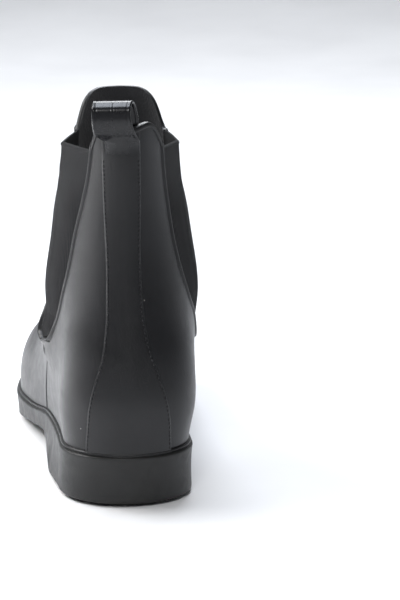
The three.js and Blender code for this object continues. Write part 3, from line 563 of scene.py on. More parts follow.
def webbingMaterial(name):
    # woven elastic webbing: rubber threads covered in textured polyester, matt and fuzzy, ribs about 1.2
    # mm apart
    # in the mesh; the weave here is the 0.4 mm pick across them
    cloth = {"IOR": 1.5, "Specular IOR Level": 0.2, "Sheen Weight": 0.06, "Sheen Roughness": 0.5}
    material, tree, shader = newMaterial(name, linear("#161617"), cloth)
    uv = addNode(tree, "ShaderNodeUVMap", {"uv_map": "UVMap"}).outputs["UV"]
    picks = addNode(tree, "ShaderNodeTexWave", {"wave_type": "BANDS", "bands_direction": "Y", "Scale": 800.0,
                                                "Distortion": 0.6, "Detail": 1.0}, {"Vector": uv})
    ends = addNode(tree, "ShaderNodeTexWave", {"wave_type": "BANDS", "bands_direction": "X", "Scale": 520.0},
                   {"Vector": uv})
    fuzz = addNode(tree, "ShaderNodeTexNoise", {"Scale": 900.0, "Detail": 4.0}, {"Vector": uv})
    weave = addNode(tree, "ShaderNodeMath", {"operation": "MULTIPLY"},
                    {0: picks.outputs["Fac"], 1: ends.outputs["Fac"]})
    height = addNode(tree, "ShaderNodeMath", {"operation": "ADD"},
                     {0: weave.outputs[0], 1: fuzz.outputs["Fac"]})
    patch = addNode(tree, "ShaderNodeTexNoise", {"Scale": 60.0, "Detail": 3.0}, {"Vector": uv})
    mixed = addNode(tree, "ShaderNodeMath", {"operation": "MULTIPLY_ADD", 1: 0.35},
                    {0: height.outputs[0], 2: patch.outputs["Fac"]})
    tree.links.new(ramp(tree, mixed.outputs[0], [(0.4, linear("#0f0f10")), (1.0, linear("#1d1d1f"))]),
                   shader.inputs["Base Color"])
    roughness = addNode(tree, "ShaderNodeMapRange", {"To Min": 0.78, "To Max": 0.95},
                        {"Value": fuzz.outputs["Fac"]})
    tree.links.new(roughness.outputs[0], shader.inputs["Roughness"])
    bump = addNode(tree, "ShaderNodeBump", {"Strength": 0.55, "Distance": 0.00022},
                   {"Height": height.outputs[0]})
    tree.links.new(bump.outputs[0], shader.inputs["Normal"])
    return material


def knitMaterial(name, colours):
    # brushed polyester jersey bonded to the rubber: dull, soft, wales about 1 mm apart (drawn coarser than
    # real)
    cloth = {"Specular IOR Level": 0.2, "Sheen Weight": 0.2, "Sheen Roughness": 0.6}
    material, tree, shader = newMaterial(name, linear(colours[0]), cloth)
    place = addNode(tree, "ShaderNodeTexCoord").outputs["Object"]
    knit = addNode(tree, "ShaderNodeTexVoronoi", {"feature": "SMOOTH_F1", "Scale": 1050.0}, {"Vector": place})
    fuzz = addNode(tree, "ShaderNodeTexNoise", {"Scale": 1800.0, "Detail": 3.0}, {"Vector": place})
    wear = addNode(tree, "ShaderNodeTexNoise", {"Scale": 45.0, "Detail": 4.0}, {"Vector": place})
    tree.links.new(ramp(tree, wear.outputs["Fac"], [(0.3, linear(colours[0])), (0.75, linear(colours[1]))]),
                   shader.inputs["Base Color"])
    roughness = addNode(tree, "ShaderNodeMapRange", {"To Min": 0.85, "To Max": 1.0},
                        {"Value": fuzz.outputs["Fac"]})
    tree.links.new(roughness.outputs[0], shader.inputs["Roughness"])
    both = addNode(tree, "ShaderNodeMath", {"operation": "ADD"},
                   {0: knit.outputs["Distance"], 1: fuzz.outputs["Fac"]})
    bump = addNode(tree, "ShaderNodeBump", {"Strength": 0.7, "Distance": 0.0004}, {"Height": both.outputs[0]})
    tree.links.new(bump.outputs[0], shader.inputs["Normal"])
    return material


def plainMaterial(name, colours, roughness, scale, bumpDistance, metallic=0.0, ior=1.45, stretch=(1, 1, 1)):
    # a two-tone mottled finish with a bump of its own: board, foam, steel, by its numbers
    material, tree, shader = newMaterial(name, linear(colours[0]), {"Metallic": metallic, "IOR": ior})
    place = addNode(tree, "ShaderNodeTexCoord").outputs["Object"]
    turned = addNode(tree, "ShaderNodeMapping", {"Scale": stretch}, {"Vector": place})
    noise = addNode(tree, "ShaderNodeTexNoise", {"Scale": scale, "Detail": 6.0, "Roughness": 0.65},
                    {"Vector": turned.outputs[0]})
    cell = addNode(tree, "ShaderNodeTexVoronoi", {"Scale": scale * 2.5}, {"Vector": turned.outputs[0]})
    tree.links.new(ramp(tree, noise.outputs["Fac"], [(0.3, linear(colours[0])), (0.7, linear(colours[1]))]),
                   shader.inputs["Base Color"])
    rough = addNode(tree, "ShaderNodeMapRange", {"To Min": roughness[0], "To Max": roughness[1]},
                    {"Value": noise.outputs["Fac"]})
    tree.links.new(rough.outputs[0], shader.inputs["Roughness"])
    both = addNode(tree, "ShaderNodeMath", {"operation": "ADD"},
                   {0: cell.outputs["Distance"], 1: noise.outputs["Fac"]})
    bump = addNode(tree, "ShaderNodeBump", {"Strength": 0.5, "Distance": bumpDistance},
                   {"Height": both.outputs[0]})
    tree.links.new(bump.outputs[0], shader.inputs["Normal"])
    return material


# soft PVC as moulded: the upper; the sole, duller and coarser; the bands and welt; the strap, glossier
satinPvc = rubberMaterial("satinPvc", ("#0b0b0d", "#111114"), (0.36, 0.44))
solePvc = rubberMaterial("solePvc", ("#161616", "#1e1e1d"), (0.42, 0.56), 1.3)
trimPvc = rubberMaterial("trimPvc", ("#0d0d0e", "#151516"), (0.36, 0.5), 0.8, 0.0)
strapPvc = rubberMaterial("strapPvc", ("#0c0c0f", "#131417"), (0.24, 0.32), 0.6, 0.0)
elasticWebbing = webbingMaterial("elasticWebbing")
jerseyLining = knitMaterial("jerseyLining", ("#262628", "#353537"))
footbedJersey = knitMaterial("footbedJersey", ("#232325", "#343436"))
# pressed fibre board, dull tan and flecked; foamed EVA, dull grey with fine cells; rolled spring steel, bright
# and streaked along its length
fibreBoard = plainMaterial("fibreBoard", ("#8a7358", "#a58c6c"), (0.75, 0.95), 260.0, 0.0002)
evaFoam = plainMaterial("evaFoam", ("#3a3a3c", "#4a4a4d"), (0.8, 0.98), 420.0, 0.0003)
springSteel = plainMaterial("springSteel", ("#8d9094", "#b4b7ba"),
                            (0.25, 0.5), 120.0, 0.00003, 1.0, 2.5, (1, 0.05, 1))


def finish(piece, material):
    # the piece's one material and the slot it stands for
    piece.data.materials.clear()
    piece.data.materials.append(material)
    return piece


print("upper")
wall = upper["rubber"]


def quarterPanel(side, name, node):
    # grid over (height, distance between back strip and front edge); the front edge carries the lip and
    # its bead
    rows = panelRows((25, 60, 1.5), (60, 68, 0.6), (68, 76, 0.25), (76, 86, 0.5), (86, 96, 1.0),
                     (96, 170, 2.0))
    seamY = quarterSeam(rows, side)
    slope = np.abs(slopeOf(lambda z: quarterSeam(z, side), rows))
    seamY = seamY + lapReach * (1 - ease(rows, 60, 65))
    lip = edgeColumns(rows, seamY, slope, lipProfile[:, 0], -1)
    stay = stayEdge(rows, side)
    rear = stay[:, None] * np.ones((1, 3))
    perMm = ringPerMm(stay, rows, side)
    rear = rear + perMm[:, None] * np.array([0.0, 0.3, 0.8])
    count = 34
    share = np.linspace(0, 1, count + 2)[1:-1]
    middle = rear[:, -1:] + (lip[:, -1:] - rear[:, -1:]) * share
    ring = np.concatenate([rear, middle, lip[:, ::-1]], 1) * side
    flat = np.zeros(3 + count)
    lapOff = np.concatenate([flat, lapUnder[::-1]])
    columnOff = np.concatenate([flat, lipProfile[::-1, 1]])
    low = footRows(rows, ring)
    backEdge = stayEdge(upper["goreTop"], side)
    frontAt = quarterEdge(np.array([upper["goreTop"]]), side)[0]
    across = (np.abs(ring) - rear[:, :1]) / (lip[:, :1] - rear[:, :1])
    z = liftBack(side * (backEdge + (frontAt - backEdge) * across), low)
    start, end = stayEdge(z, side), quarterEdge(np.minimum(z, 172), side)
    ringNow = side * (start + (end - start) * across)
    off = rimHeight(side, skin(ringNow, z)[..., 1], z, columnOff, lapOff)
    piece = shellPiece(name, skin(ringNow, z, off), skin(ringNow, z, -wall), None, 50)
    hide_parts(node)
    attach(piece, "boot")
    return finish(piece, satinPvc)


def backStrip():
    # grid over (height, width); raised above the quarters with rounded long edges, flush under the top band
    rows = panelRows((25, 40, 1.2), (40, 170, 1.6))
    distance = stayProfile[:, 0] - 0.15
    edges = []
    for side in (-1, 1):
        stay = stayEdge(rows, side)
        perMm = ringPerMm(stay, rows, side)
        edges.append(side * (stay[:, None] - perMm[:, None] * distance[None, :]))
    share = np.linspace(0, 1, 25)[1:-1]
    inner = edges[0][:, -1:] + (edges[1][:, -1:] - edges[0][:, -1:]) * share
    ring = np.concatenate([edges[0], inner, edges[1][:, ::-1]], 1)
    crease = 0.05 * np.exp(-0.5 * ((share - 0.5) / 0.05) ** 2)
    height = np.concatenate([stayProfile[:, 1], 1.0 - crease, stayProfile[::-1, 1]])
    low = footRows(rows, ring)
    fraction = ring / bothSides(stayEdge, ring, rows[:, None])
    z = liftBack(fraction * bothSides(stayEdge, ring, upper["goreTop"]), low)
    ringNow = fraction * bothSides(stayEdge, ring, z)
    fade = 1 - 0.8 * ease(z, 170, 180)
    outer = skin(ringNow, z, np.where(height > 0, height * fade, height))
    inside = skin(ringNow, z, -wall)
    piece = shellPiece("backStrip", outer, inside, None, 50)
    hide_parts("backstay")
    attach(piece, "boot")
    return finish(piece, satinPvc)


def frontPlace(rows, columns, inset=0.0):
    # rings and heights over the whole front, from the medial seam through the toe to the lateral seam
    seamY = frontSeam(rows) + inset
    slope = np.abs(slopeOf(frontSeam, rows))
    edge = edgeColumns(rows, seamY, slope, lipProfile[:, 0], 1)
    share = np.linspace(0, 1, columns + 2)[1:-1]
    middle = edge[:, -1:] + (2 - 2 * edge[:, -1:]) * share
    ring = np.concatenate([edge, middle, 2 - edge[:, ::-1]], 1)
    low = footRows(rows, ring)
    topEdge = frontEdge(np.array([upper["goreTop"]]))[0]
    across = (ring - edge[:, :1]) / (2 - 2 * edge[:, :1])
    topRing = topEdge + (2 - 2 * topEdge) * across
    z = liftFront(topRing, low)
    start = frontEdge(z)
    return start + (2 - 2 * start) * across, z


def frontUpper():
    # grid over (height, way round the toe): vamp, instep and front shaft moulded in one; lips at the
    # elastic only
    rows = panelRows((25, 44, 1.0), (44, 66, 0.6), (66, 78, 0.3), (78, 128, 0.6), (128, 170, 1.2))
    count = 150
    ring, z = frontPlace(rows, count)
    lapOff = np.concatenate([lapOver, np.zeros(count), lapOver[::-1]])
    columnOff = np.concatenate([lipProfile[:, 1], np.zeros(count), lipProfile[::-1, 1]])
    off = rimHeight(-1, skin(ring, z)[..., 1], z, columnOff, lapOff)
    outer = skin(ring, z, off)
    inner = skin(ring, z, 0.5 * ease(z, 148, 166) - wall)
    piece = shellPiece("frontUpper", outer, inner, None, 50)
    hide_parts("vamp", "instep_flex", "front_shaft")
    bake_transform(piece)
    finish(piece, satinPvc)
    return ring[-1], z[-1]


# inset: from the edge of the strip; seat: how far off the skin the middle of a stitch lies
stitch = {"pitch": 2.1, "inset": 1.3, "length": 1.45, "wide": 0.75, "high": 0.5, "seat": 0.95,
          "from": 28.0, "to": 168.0}


def stripStitches(side, name):
    # moulded stitches along a long edge of the strip: a small rounded bar, repeated along the edge at its
    # pitch
    at = np.arange(stitch["from"], stitch["to"], stitch["pitch"])
    stay = stayEdge(at, side)
    perMm = ringPerMm(stay, at, side)
    ring = side * (stay - perMm * stitch["inset"])
    seat = skin(ring, settle(at, skin(ring, at)[:, 1]), stitch["seat"])
    along = unit(np.gradient(seat, axis=0))
    _, out = onSkin(seat)
    across = np.cross(along, out)
    u = np.linspace(0, np.pi, 8)[:, None]
    v = np.linspace(0, 2 * np.pi, 9)[None, :-1]
    length = stitch["length"] / 2 * np.cos(u) + 0 * v
    width = stitch["wide"] / 2 * np.sin(u) ** 0.6 * np.cos(v)
    height = stitch["high"] * np.sin(u) ** 0.6 * np.sin(v)
    body = np.stack([length, width, height], -1).reshape(-1, 3)
    points = seat[:, None] + (body[None, :, :1] * along[:, None] + body[None, :, 1:2] * across[:, None]
                              + body[None, :, 2:] * out[:, None])
    quads = gridFaces(8, 8, 0, True)
    faces = (quads[None] + np.arange(len(at))[:, None, None] * len(body)).reshape(-1, 4)
    piece = makePiece(name, points, [faces], None, 60)
    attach(piece, "boot")
    return finish(piece, satinPvc)


quarterPanel(-1, "quarterOuter", "quarter_lateral")
quarterPanel(1, "quarterInner", "quarter_medial")
backStrip()
stripStitches(-1, "stitchOuter")
stripStitches(1, "stitchInner")
frontTopRing, frontTopZ = frontUpper()


print("elastic")


goreSwell = station([(68, 0.1), (76, 0.4), (84, 1.5), (90, 3.2), (96, 4.3), (104, 4.6), (112, 4.3),
                     (122, 3.8),
                     (140, 3.6), (155, 3.5), (166, 3.3), (172, 3.1)], 2)


goreFold = {"y": 15.0, "amount": 0.92, "from": 132.0, "to": 168.0}
goreRib = {"pitch": 1.25, "high": 0.10}
goreWall = {"face": -0.95, "back": -2.2, "columns": 241}


def folded(grid):
    # the webbing is creased upright near its top: each row is drawn towards two straight lines meeting at
    # the crease
    columns = grid.shape[1]
    crease = np.argmin(np.abs(grid[-1, :, 1] - goreFold["y"]))
    j = np.arange(columns)[None, :, None]
    first, corner, final = grid[:, :1], grid[:, crease:crease + 1], grid[:, -1:]
    straight = np.where(j <= crease, first + (corner - first) * j / crease,
                        corner + (final - corner) * (j - crease) / (columns - 1 - crease))
    share = goreFold["amount"] * ease(grid[..., 2:], goreFold["from"], goreFold["to"])
    return grid + (straight - grid) * share


def gore(side, name, node, bulge):
    # grid over (height, share between the two seams); upright ribs, a hemmed top,
    # and a swell that is fullest about a third of the way up
    rows = panelRows((71.0, 84, 0.4), (84, 167, 1.2), (167, 170.6, 0.3))
    start = quarterEdge(rows, side)
    end = frontEdge(rows)
    columns = goreWall["columns"]
    share = np.linspace(0, 1, columns)
    ring = side * (start[:, None] + (end - start)[:, None] * share)
    flat = skin(ring, rows[:, None])
    steps = np.linalg.norm(np.diff(flat, axis=1), axis=2)
    along = np.concatenate([np.zeros((len(rows), 1)), np.cumsum(steps, 1)], 1)
    fromRear, toFront = along, along[:, -1:] - along
    swell = (1 - np.abs(2 * share - 1) ** 2.4) * goreSwell(rows)[:, None] / 3.6
    edge = np.minimum(fromRear, toFront)
    ribs = goreRib["high"] * np.cos(2 * np.pi * flat[..., 1] / goreRib["pitch"]) * ease(edge, 0.4, 1.6)
    ribs = ribs * (1 - ease(rows, 168.2, 168.8))[:, None]
    hem = 0.3 * ease(rows, 168.6, 169.0)[:, None] - 0.5 * ease(rows, 170.0, 170.6)[:, None]
    outer = folded(skin(ring, rows[:, None], goreWall["face"] + bulge * swell + ribs + hem))
    inner = folded(skin(ring, rows[:, None], goreWall["back"] + bulge * swell))
    uv = np.stack([flat[..., 1] * mm, flat[..., 2] * mm], -1)
    piece = shellPiece(name, outer, inner, uv, 60)
    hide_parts(node)
    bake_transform(piece)
    return finish(piece, elasticWebbing)


gore(-1, "goreOuter", "gore_lateral", 3.7)
gore(1, "goreInner", "gore_medial", 2.0)


print("lining")


def liningRear():
    # grid over (height, way round the heel) behind the quarters and the back strip
    rows = panelRows((27, 66, 3.0), (66, 90, 1.2), (90, 170, 3.0))
    share = np.linspace(-1, 1, 81)
    share = np.broadcast_to(share, (len(rows), len(share)))
    low = footRows(rows, share * bothSides(quarterEdge, share, rows[:, None]) * 0.995)
    z = liftBack(share * bothSides(quarterEdge, share, np.full(share.shape, upper["goreTop"])), low)
    ring = share * bothSides(quarterEdge, share, np.minimum(z, 172)) * 0.995
    tuck = upper["tuck"] * ease(rows[:, None], 150, 168)
    face, back = tuck + upper["liningFace"], tuck + upper["liningBack"]
    piece = shellPiece("liningRear", skin(ring, z, face), skin(ring, z, back), None, 50)
    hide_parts("lining_rear")
    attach(piece, "boot")
    return finish(piece, jerseyLining)


def liningFront():
    # the same grid as the front upper, thinner and further in
    rows = panelRows((27, 44, 2.0), (44, 128, 1.5), (128, 170, 2.5))
    ring, z = frontPlace(rows, 90)
    tuck = upper["tuck"] * ease(z, 150, 168)
    face, back = tuck + upper["liningFace"], tuck * 1.4 + upper["liningBack"]
    piece = shellPiece("liningFront", skin(ring, z, face), skin(ring, z, back), None, 50)
    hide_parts("lining_vamp", "lining_flex", "lining_front")
    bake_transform(piece)
    return finish(piece, jerseyLining)


liningRear()
liningFront()


print("bands")


def resample(line, step):
    # points evenly spaced along a line, about a step apart
    along = lengthAlong(line)
    even = np.linspace(0, along[-1], max(int(along[-1] / step), 4))
    return np.stack([np.interp(even, along, line[:, k]) for k in range(3)], -1)


def softened(line, width):
    # a line averaged along itself with its ends kept
    bell = np.hanning(2 * width + 3)[1:-1]
    bell /= bell.sum()
    padded = np.concatenate([2 * line[:1] - line[width:0:-1], line, 2 * line[-1:] - line[-2:-width - 2:-1]])
    return np.stack([np.convolve(padded[:, k], bell, mode="valid") for k in range(3)], -1)


def edgeFrame(line, down):
    # outward direction of a line on the skin, and the direction across it in the surface, turned to the
    # down side
    tangent = unit(np.gradient(line, axis=0))
    _, normal = onSkin(line)
    side = unit(np.cross(tangent, normal))
    return normal, side * np.sign(side @ np.array(down))[:, None]


rearBand = {"out": 2.0, "in": 1.4, "proud": 0.45, "rim": 3.5, "top": 0.9}
frontBand = {"out": 1.6, "in": 0.5, "proud": 0.22, "rim": 2.9, "top": 0.7}


def bandProfile(size):
    # (distance down the surface, height off it) of a folded band: outside, round over the top, inside, back
    h, i, o, r, t = (size[k] for k in ("out", "in", "proud", "rim", "top"))
    outside = [(h, 0.0), (h - 0.03, o * 0.5), (h - 0.15, o * 0.85), (h - 0.4, o), (h * 0.6, o + 0.04),
               (0.9, o)]
    theta = np.linspace(0, np.pi, 13)[1:-1]
    over = [(0.3 - t * math.sin(a), o - r / 2 + r / 2 * math.cos(a)) for a in theta]
    inside = [(0.4, o - r), (0.3 + i * 0.5, o - r), (i + 0.3, o - r + 0.1), (i + 0.5, o - r + 0.3)]
    back = [(0.4, o - r + 0.4), (0.4, -0.06), (h * 0.5, -0.06)]
    return np.array(outside + over + inside + back)


def band(name, node, line, body, size):
    # folded band along the top edge: the profile carried along the line, laid on the curved wall
    profile = bandProfile(size)
    normal, side = edgeFrame(line, (0, 0, -1))
    spread = line[:, None, :] + side[:, None, :] * profile[None, :, 0, None]
    surface, n = onSkin(spread)
    n = unit(n * 0.5 + normal[:, None, :] * 0.5)
    piece = closedSweep(name, surface + n * profile[None, :, 1, None], 45)
    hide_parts(node)
    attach(piece, body)
    return finish(piece, trimPvc)


def backTopLine():
    # the top edge of the rear panels, from the outer elastic over both ears to the inner one
    share = np.linspace(-1, 1, 241)
    top = np.full(share.shape, upper["goreTop"])
    z = liftBack(share * bothSides(quarterEdge, share, top), top)
    return skin(share * bothSides(quarterEdge, share, np.minimum(z, 172)), z)


backLineTop = resample(softened(backTopLine(), 6), 0.8)
frontLineTop = resample(softened(skin(frontTopRing, frontTopZ), 4), 0.8)
band("bandRear", "binding_rear", backLineTop, "boot", rearBand)
band("bandFront", "binding_front", frontLineTop, "front", frontBand)


print("pull loop")
# proud: how far its foot lies off the back strip, and how much more where it lets go; inside: off the lining
loopSize = {"thick": 1.5, "slant": 0.06, "columns": 81, "proud": 1.6, "lift": 0.9,
            "inside": -4.6, "laidWider": 1.22}


def smoothPath(points, step=0.5):
    # a centripetal curve through the points, evenly stepped
    p = np.array(points, float)
    gaps = np.sqrt(np.linalg.norm(np.diff(p, axis=0), axis=1))
    t = np.concatenate([[0], np.cumsum(gaps)])
    m = np.gradient(p, t, axis=0)
    fine = np.linspace(0, t[-1], 600)
    k = np.clip(np.searchsorted(t, fine, side="right") - 1, 0, len(t) - 2)
    h = (t[k + 1] - t[k])[:, None]
    u = ((fine - t[k])[:, None]) / h
    line = (p[k] * (1 + 2 * u) * (1 - u) ** 2 + p[k + 1] * u * u * (3 - 2 * u)
            + h * (m[k] * u * (1 - u) ** 2 - m[k + 1] * u * u * (1 - u)))
    return resample(line, step)


def pullLoop():
    # flat strap carried along its fold: outside the back strip, up, over, and down inside the lining
    # x, y, z of the middle of the strap, and its width
    stops = np.array([
        (-2.9, -34.7, 170.6, 18.9), (-3.1, -34.8, 172.5, 18.9), (-3.5, -35.1, 175.6, 19.0),
        (-5.3, -35.9, 178.4, 20.1),
        (-6.8, -38.3, 182, 19.6), (-7.8, -40.3, 186, 18.8), (-8.2, -40.5, 189.5, 18.3),
        (-8.1, -40.0, 192.2, 18.3),
        (-7.7, -37.8, 193.9, 18.7), (-7.1, -35.5, 195.0, 19.1), (-6.4, -33.2, 194.9, 19.2),
        (-5.4, -30.9, 193.4, 19.1),
        (-4.4, -29.4, 190.2, 18.8), (-3.6, -28.7, 185, 18.8), (-3.4, -27.9, 178, 18.6),
        (-3.4, -27.2, 169, 18.0)])
    path = smoothPath(stops[:, :3])
    gaps, along = lengthAlong(stops[:, :3]), lengthAlong(path)
    width = np.interp(along / along[-1], gaps / gaps[-1], stops[:, 3])
    across = np.broadcast_to(unit(np.array([1.0, loopSize["slant"], 0.0])), path.shape)
    normal = unit(np.cross(across, unit(np.gradient(path, axis=0))))
    thick = loopSize["thick"]
    theta = np.linspace(0, np.pi, 9)[1:-1]
    r = thick / 2
    share = np.linspace(-1, 1, loopSize["columns"])
    w = np.concatenate([share, 1 + 0 * theta, -share, -1 + 0 * theta])
    extra = np.concatenate([0 * share, r * np.sin(theta), 0 * share, -r * np.sin(theta)])
    o = np.concatenate([0 * share + r, r * np.cos(theta), 0 * share - r, -r * np.cos(theta)])
    half = width[:, None] / 2 - r
    wide = w[None, :] * half + extra[None, :]
    fromEdge = half + r - np.abs(wide)
    # a low bead with a fine groove beside it along each edge, and a ridge in a shallow hollow up the middle
    edgeBead = 0.1 * np.exp(-0.5 * ((fromEdge - 0.9) / 0.4) ** 2)
    edgeGroove = 0.1 * np.exp(-0.5 * ((fromEdge - 1.9) / 0.25) ** 2)
    middleRidge = 0.14 * np.exp(-0.5 * (wide / 0.22) ** 2) - 0.08 * np.exp(-0.5 * (wide / 0.7) ** 2)
    face = (np.abs(o) > r * 0.99)[None, :]
    depth = o[None, :] + np.where(face, (edgeBead - edgeGroove + middleRidge) * np.sign(o)[None, :], 0)
    z = path[:, 2]
    first = np.arange(len(path)) < np.argmax(z)
    flat = path[:, None, :] + across[:, None, :] * wide[..., None]
    free = flat + normal[:, None, :] * depth[..., None]
    proud = np.where(first, loopSize["proud"] + loopSize["lift"] * ease(z, 172, 180), loopSize["inside"])
    laidWide = wide * np.where(first, loopSize["laidWider"], 1.0)[:, None]
    surface, n = onSkin(path[:, None, :] + across[:, None, :] * laidWide[..., None])
    outward = np.where((normal[:, 1] < 0) == first, 1.0, -1.0)[:, None]
    outward = outward * np.where(first, 1.0, -1.0)[:, None]
    laid = surface + n * (proud[:, None] + outward * depth)[..., None]
    hold = np.where(first, 1 - ease(z, 174, 181), 1 - ease(z, 176, 187))[:, None, None]
    piece = closedSweep("pullLoop", free * (1 - hold) + laid * hold, 45)
    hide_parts("pull_loop", "loop_end_outer", "loop_end_inner")
    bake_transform(piece)
    return finish(piece, strapPvc)


pullLoop()


print("sole")


tread = {"pitch": 6.5, "deep": 1.6}


def soleUnit():
    # grid over (profile, way round): roof, lip, side wall, undercut and tread, each carried round the foot
    ring = np.linspace(-1, 1, 561)[:-1]
    mirror = -np.arange(len(ring)) % len(ring)  # the same place on the other side
    y = skin(ring, np.full(ring.shape, 25.0))[:, 1]
    outerSide = np.where(ring < 0, 1.0, 0.0)
    top, bottom = feather(y) - 0.2, treadLine(y)
    edge = bottom + np.maximum(edgeRise(y), 1.5 * (1 - ease(y, 20, 34)))
    flare = heelFlare(y) * outerSide
    lip = [(0.0, 0.0, -5.0), (0.0, 0.0, -2.6), (0.0, 0.0, 1.3), (0.15, 0.0, 1.9), (0.5, 0.0, 2.25),
           (1.1, 0.0, 2.4)]
    wallShares = (0.08, 0.16, 0.26, 0.38, 0.5, 0.62, 0.74, 0.85, 0.93)
    side = [(0.0, f, 2.4 - 0.25 * math.sin(math.pi * f)) for f in wallShares]
    foot = [(-0.55, 1.0, 2.25), (-0.2, 1.0, 2.0), (0.0, 1.0, 1.6)]
    loops = []
    for down, fraction, off in lip + side + foot:
        z = top - down - (top - edge) * fraction
        loops.append(skin(ring, z, off + flare * fraction ** 1.2))
    inset = 2.4 + 1.1 * (edge - bottom)
    for u in (0.12, 0.28, 0.46, 0.64, 0.82, 1.0):
        z = edge - (edge - bottom) * math.sin(u * math.pi / 2) ** 1.4
        loops.append(skin(ring, z, 1.6 + flare - inset * u))
    loops = np.stack(loops)
    rim = loops[-1]
    shares = np.array([0.02, 0.05, 0.1, 0.15, 0.2, 0.3, 0.4, 0.5, 0.6, 0.7, 0.8, 0.9, 1.0])
    floor = rim[None] + (rim[mirror] - rim)[None] * shares[:, None, None] / 2
    along = floor[..., 1]
    zone = np.maximum(1 - ease(along, 16, 20), ease(along, 102, 108) * (1 - ease(along, 214, 220)))
    bar = ease(0.5 - 0.5 * np.cos(2 * np.pi * along / tread["pitch"]), 0.35, 0.6)
    floor[..., 2] = treadLine(along) + tread["deep"] * (1 - bar) * ease(shares, 0.04, 0.12)[:, None] * zone
    roof = loops[0][None] + (loops[0][mirror] - loops[0])[None] * np.array([1.0, 0.5])[:, None, None] / 2
    rows = np.concatenate([roof, loops, floor])
    piece = makePiece("soleUnit", rows, [gridFaces(len(rows), len(ring), 0, True)], None, 45)
    weld(piece)
    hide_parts("outsole")
    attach(piece, "boot")
    return finish(piece, solePvc)


def weltStrip():
    # bead with a fine groove under it, round the foot at the feather line: the profile carried round as a
    # ring
    ring = np.linspace(-1, 1, 561)[:-1]
    y = skin(ring, np.full(ring.shape, 25.0))[:, 1]
    profile = [(-0.3, -1.0), (-0.3, 1.0), (-0.1, 1.1), (0.1, 1.0), (0.22, 0.8), (0.34, 0.95),
               (0.55, 1.2), (0.85, 1.3),
               (1.15, 1.2), (1.4, 0.9), (1.55, 0.5), (1.6, 0.0), (1.6, -1.0)]
    loops = np.stack([skin(ring, feather(y) + up, off) for up, off in profile], 1)
    piece = closedRing("weltBead", loops, 50)
    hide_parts("welt_strip")
    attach(piece, "boot")
    return finish(piece, trimPvc)


soleUnit()
weltStrip()


print("footbed")


def footbedPiece(name, node, material, low, high, inset):
    # grid over (way round, profile): a slab with rounded edges, dished at the heel
    ring = np.linspace(-1, 1, 241)[:-1]
    mirror = -np.arange(len(ring)) % len(ring)
    y = skin(ring, np.full(ring.shape, 30.0))[:, 1]
    base = feather(y)
    profile = [(low, inset - 1.2), (low + 0.3, inset - 0.3), ((low + high) / 2, inset),
               (high - 0.3, inset - 0.3),
               (high, inset - 1.2)]
    loops = np.stack([skin(ring, base + up, off) for up, off in profile], 0)
    parts = [loops]
    shares = np.linspace(0, 1, 12)[1:]
    for source, flip in ((loops[0], True), (loops[-1], False)):
        fill = source[None] + (source[mirror] - source)[None] * shares[:, None, None] / 2
        dish = 0.0 if flip else -1.0
        fill[..., 2] += dish * np.sin(shares * np.pi / 2)[:, None] * (1 - ease(fill[..., 1], 30, 70))
        parts.append(fill)
    rowsAll = np.concatenate([parts[1][::-1], loops, parts[2]])
    piece = makePiece(name, rowsAll, [gridFaces(len(rowsAll), len(ring), 0, True)], None, 50)
    weld(piece)
    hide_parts(node)
    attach(piece, "insole")
    return finish(piece, material)


footbedPiece("footbedFoam", "footbed", evaFoam, 2.8, 6.6, -6.5)
footbedPiece("footbedCover", "footbed_cover", footbedJersey, 6.9, 7.8, -6.6)


# the carried-over inner pieces and what each is made of
innerFinish = {"heel_core": fibreBoard, "forefoot_filler": fibreBoard, "shank": springSteel,
               "insole_board": fibreBoard, "heel_counter": fibreBoard, "toe_puff": fibreBoard}
for nodeName, material in innerFinish.items():
    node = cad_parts[nodeName]
    node.data.materials.clear()
    node.data.materials.append(material)


print("stage")


def aim(thing, place, target):
    # puts a lamp or camera in its place, looking at the target
    thing.location = place
    thing.rotation_euler = (Vector(target) - Vector(place)).to_track_quat("-Z", "Y").to_euler()


def areaLight(name, place, target, size, power, colour=(1, 1, 1), spread=180):
    # a rectangular soft light; spread is the angle that it is kept within
    lamp = bpy.data.lights.new(name, "AREA")
    lamp.shape = "RECTANGLE"
    lamp.size, lamp.size_y = size
    lamp.energy = power
    lamp.color = colour
    lamp.spread = math.radians(spread)
    thing = bpy.data.objects.new(name, lamp)
    bpy.context.scene.collection.objects.link(thing)
    aim(thing, place, target)
    return thing


areaLight("frontWindow", (0.1, 1.7, 1.7), (0, 0.3, 0), (1.4, 1.0), 38, (0.95, 0.97, 1.0))
areaLight("topPanel", (-0.05, 0.45, 1.7), (0, 0.05, 0.1), (0.9, 0.6), 13, (0.84, 0.9, 1.0))
areaLight("leftPanel", (-0.8, 0.3, 0.6), (-0.68, 0.2, 0), (0.7, 0.7), 11, (1, 1, 1), 100)
areaLight("behindPanel", (-0.1, -0.9, 0.9), (0, -0.5, 0), (0.4, 0.4), 5.5)

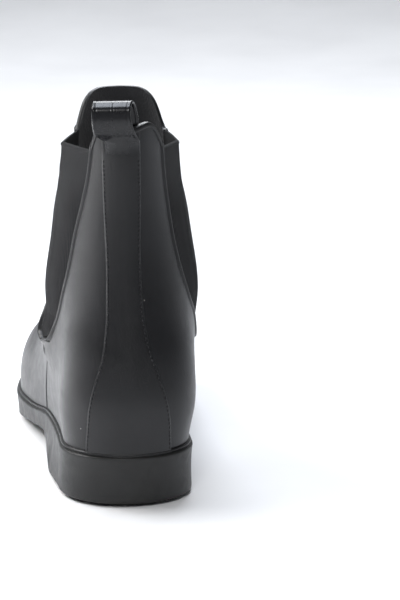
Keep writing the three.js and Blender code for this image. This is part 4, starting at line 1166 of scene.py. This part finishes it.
# a round sheet of paper, flat round the boot and rising like a bowl past a distance, in metres
sheet = {"radius": 4.2, "flat": 1.8, "rise": 0.9, "under": 0.0003}
reach = np.linspace(0, 1, 60)[:, None] ** 1.5 * sheet["radius"]
angle = np.linspace(0, 2 * np.pi, 65)[None, :-1]
bowl = sheet["rise"] * (np.maximum(reach - sheet["flat"], 0) / 2.2) ** 2 - sheet["under"]
paperPoints = np.stack([reach * np.cos(angle), reach * np.sin(angle), 0 * angle + bowl], -1)[1:]
floor = makePiece("floor", paperPoints / mm, [gridFaces(59, 64, 0, True)], None, 180)
paper, paperTree, paperShader = newMaterial("studioPaper", linear("#f2f2f3"),
                                            {"Roughness": 0.9, "Specular IOR Level": 0.1})
paperPlace = addNode(paperTree, "ShaderNodeTexCoord").outputs["Object"]
paperNoise = addNode(paperTree, "ShaderNodeTexNoise", {"Scale": 6.0, "Detail": 4.0}, {"Vector": paperPlace})
paperTree.links.new(ramp(paperTree, paperNoise.outputs["Fac"], [(0.3, linear("#efeff0")),
                                                                (0.7, linear("#f6f6f7"))]),
                    paperShader.inputs["Base Color"])
floor.data.materials.append(paper)

world = bpy.data.worlds.new("studio")
bpy.context.scene.world = world
world.use_nodes = True
sky = world.node_tree
direction = addNode(sky, "ShaderNodeTexCoord").outputs["Generated"]
parts = addNode(sky, "ShaderNodeSeparateXYZ", {}, {"Vector": direction})
upwards = addNode(sky, "ShaderNodeMapRange",
                  {"From Min": 0.15, "From Max": 0.9, "To Min": 0.07, "To Max": 0.18,
                   "interpolation_type": "SMOOTHSTEP"}, {"Value": parts.outputs["Z"]})
ahead = addNode(sky, "ShaderNodeMapRange",
                {"From Min": 0.2, "From Max": 1.0, "To Min": 1.0, "To Max": 3.0,
                 "interpolation_type": "SMOOTHSTEP"}, {"Value": parts.outputs["Y"]})
skyPower = addNode(sky, "ShaderNodeMath", {"operation": "MULTIPLY"},
                   {0: upwards.outputs[0], 1: ahead.outputs[0]})
sky.nodes["Background"].inputs["Color"].default_value = (0.93, 0.96, 1.0, 1)
sky.links.new(skyPower.outputs[0], sky.nodes["Background"].inputs["Strength"])

view = {"turn": 6.5, "tilt": 11.5, "distance": 1.1, "side": 0.03775, "rise": 0.092,
        "lens": 88.0, "film": 24.0}
turn, tilt = math.radians(view["turn"]), math.radians(view["tilt"])
forward = np.array([math.sin(turn) * math.cos(tilt), math.cos(turn) * math.cos(tilt), -math.sin(tilt)])
rightward = np.array([math.cos(turn), -math.sin(turn), 0.0])
upward = np.cross(rightward, forward)
eye = rightward * view["side"] + upward * view["rise"] - forward * view["distance"]
cameraData = bpy.data.cameras.new("camera")
cameraData.sensor_fit = "VERTICAL"
cameraData.sensor_height = view["film"]
cameraData.lens = view["lens"]
camera = bpy.data.objects.new("camera", cameraData)
bpy.context.scene.collection.objects.link(camera)
aim(camera, tuple(eye), tuple(eye + forward))
bpy.context.scene.camera = camera
bpy.context.scene.view_settings.view_transform = "Standard"
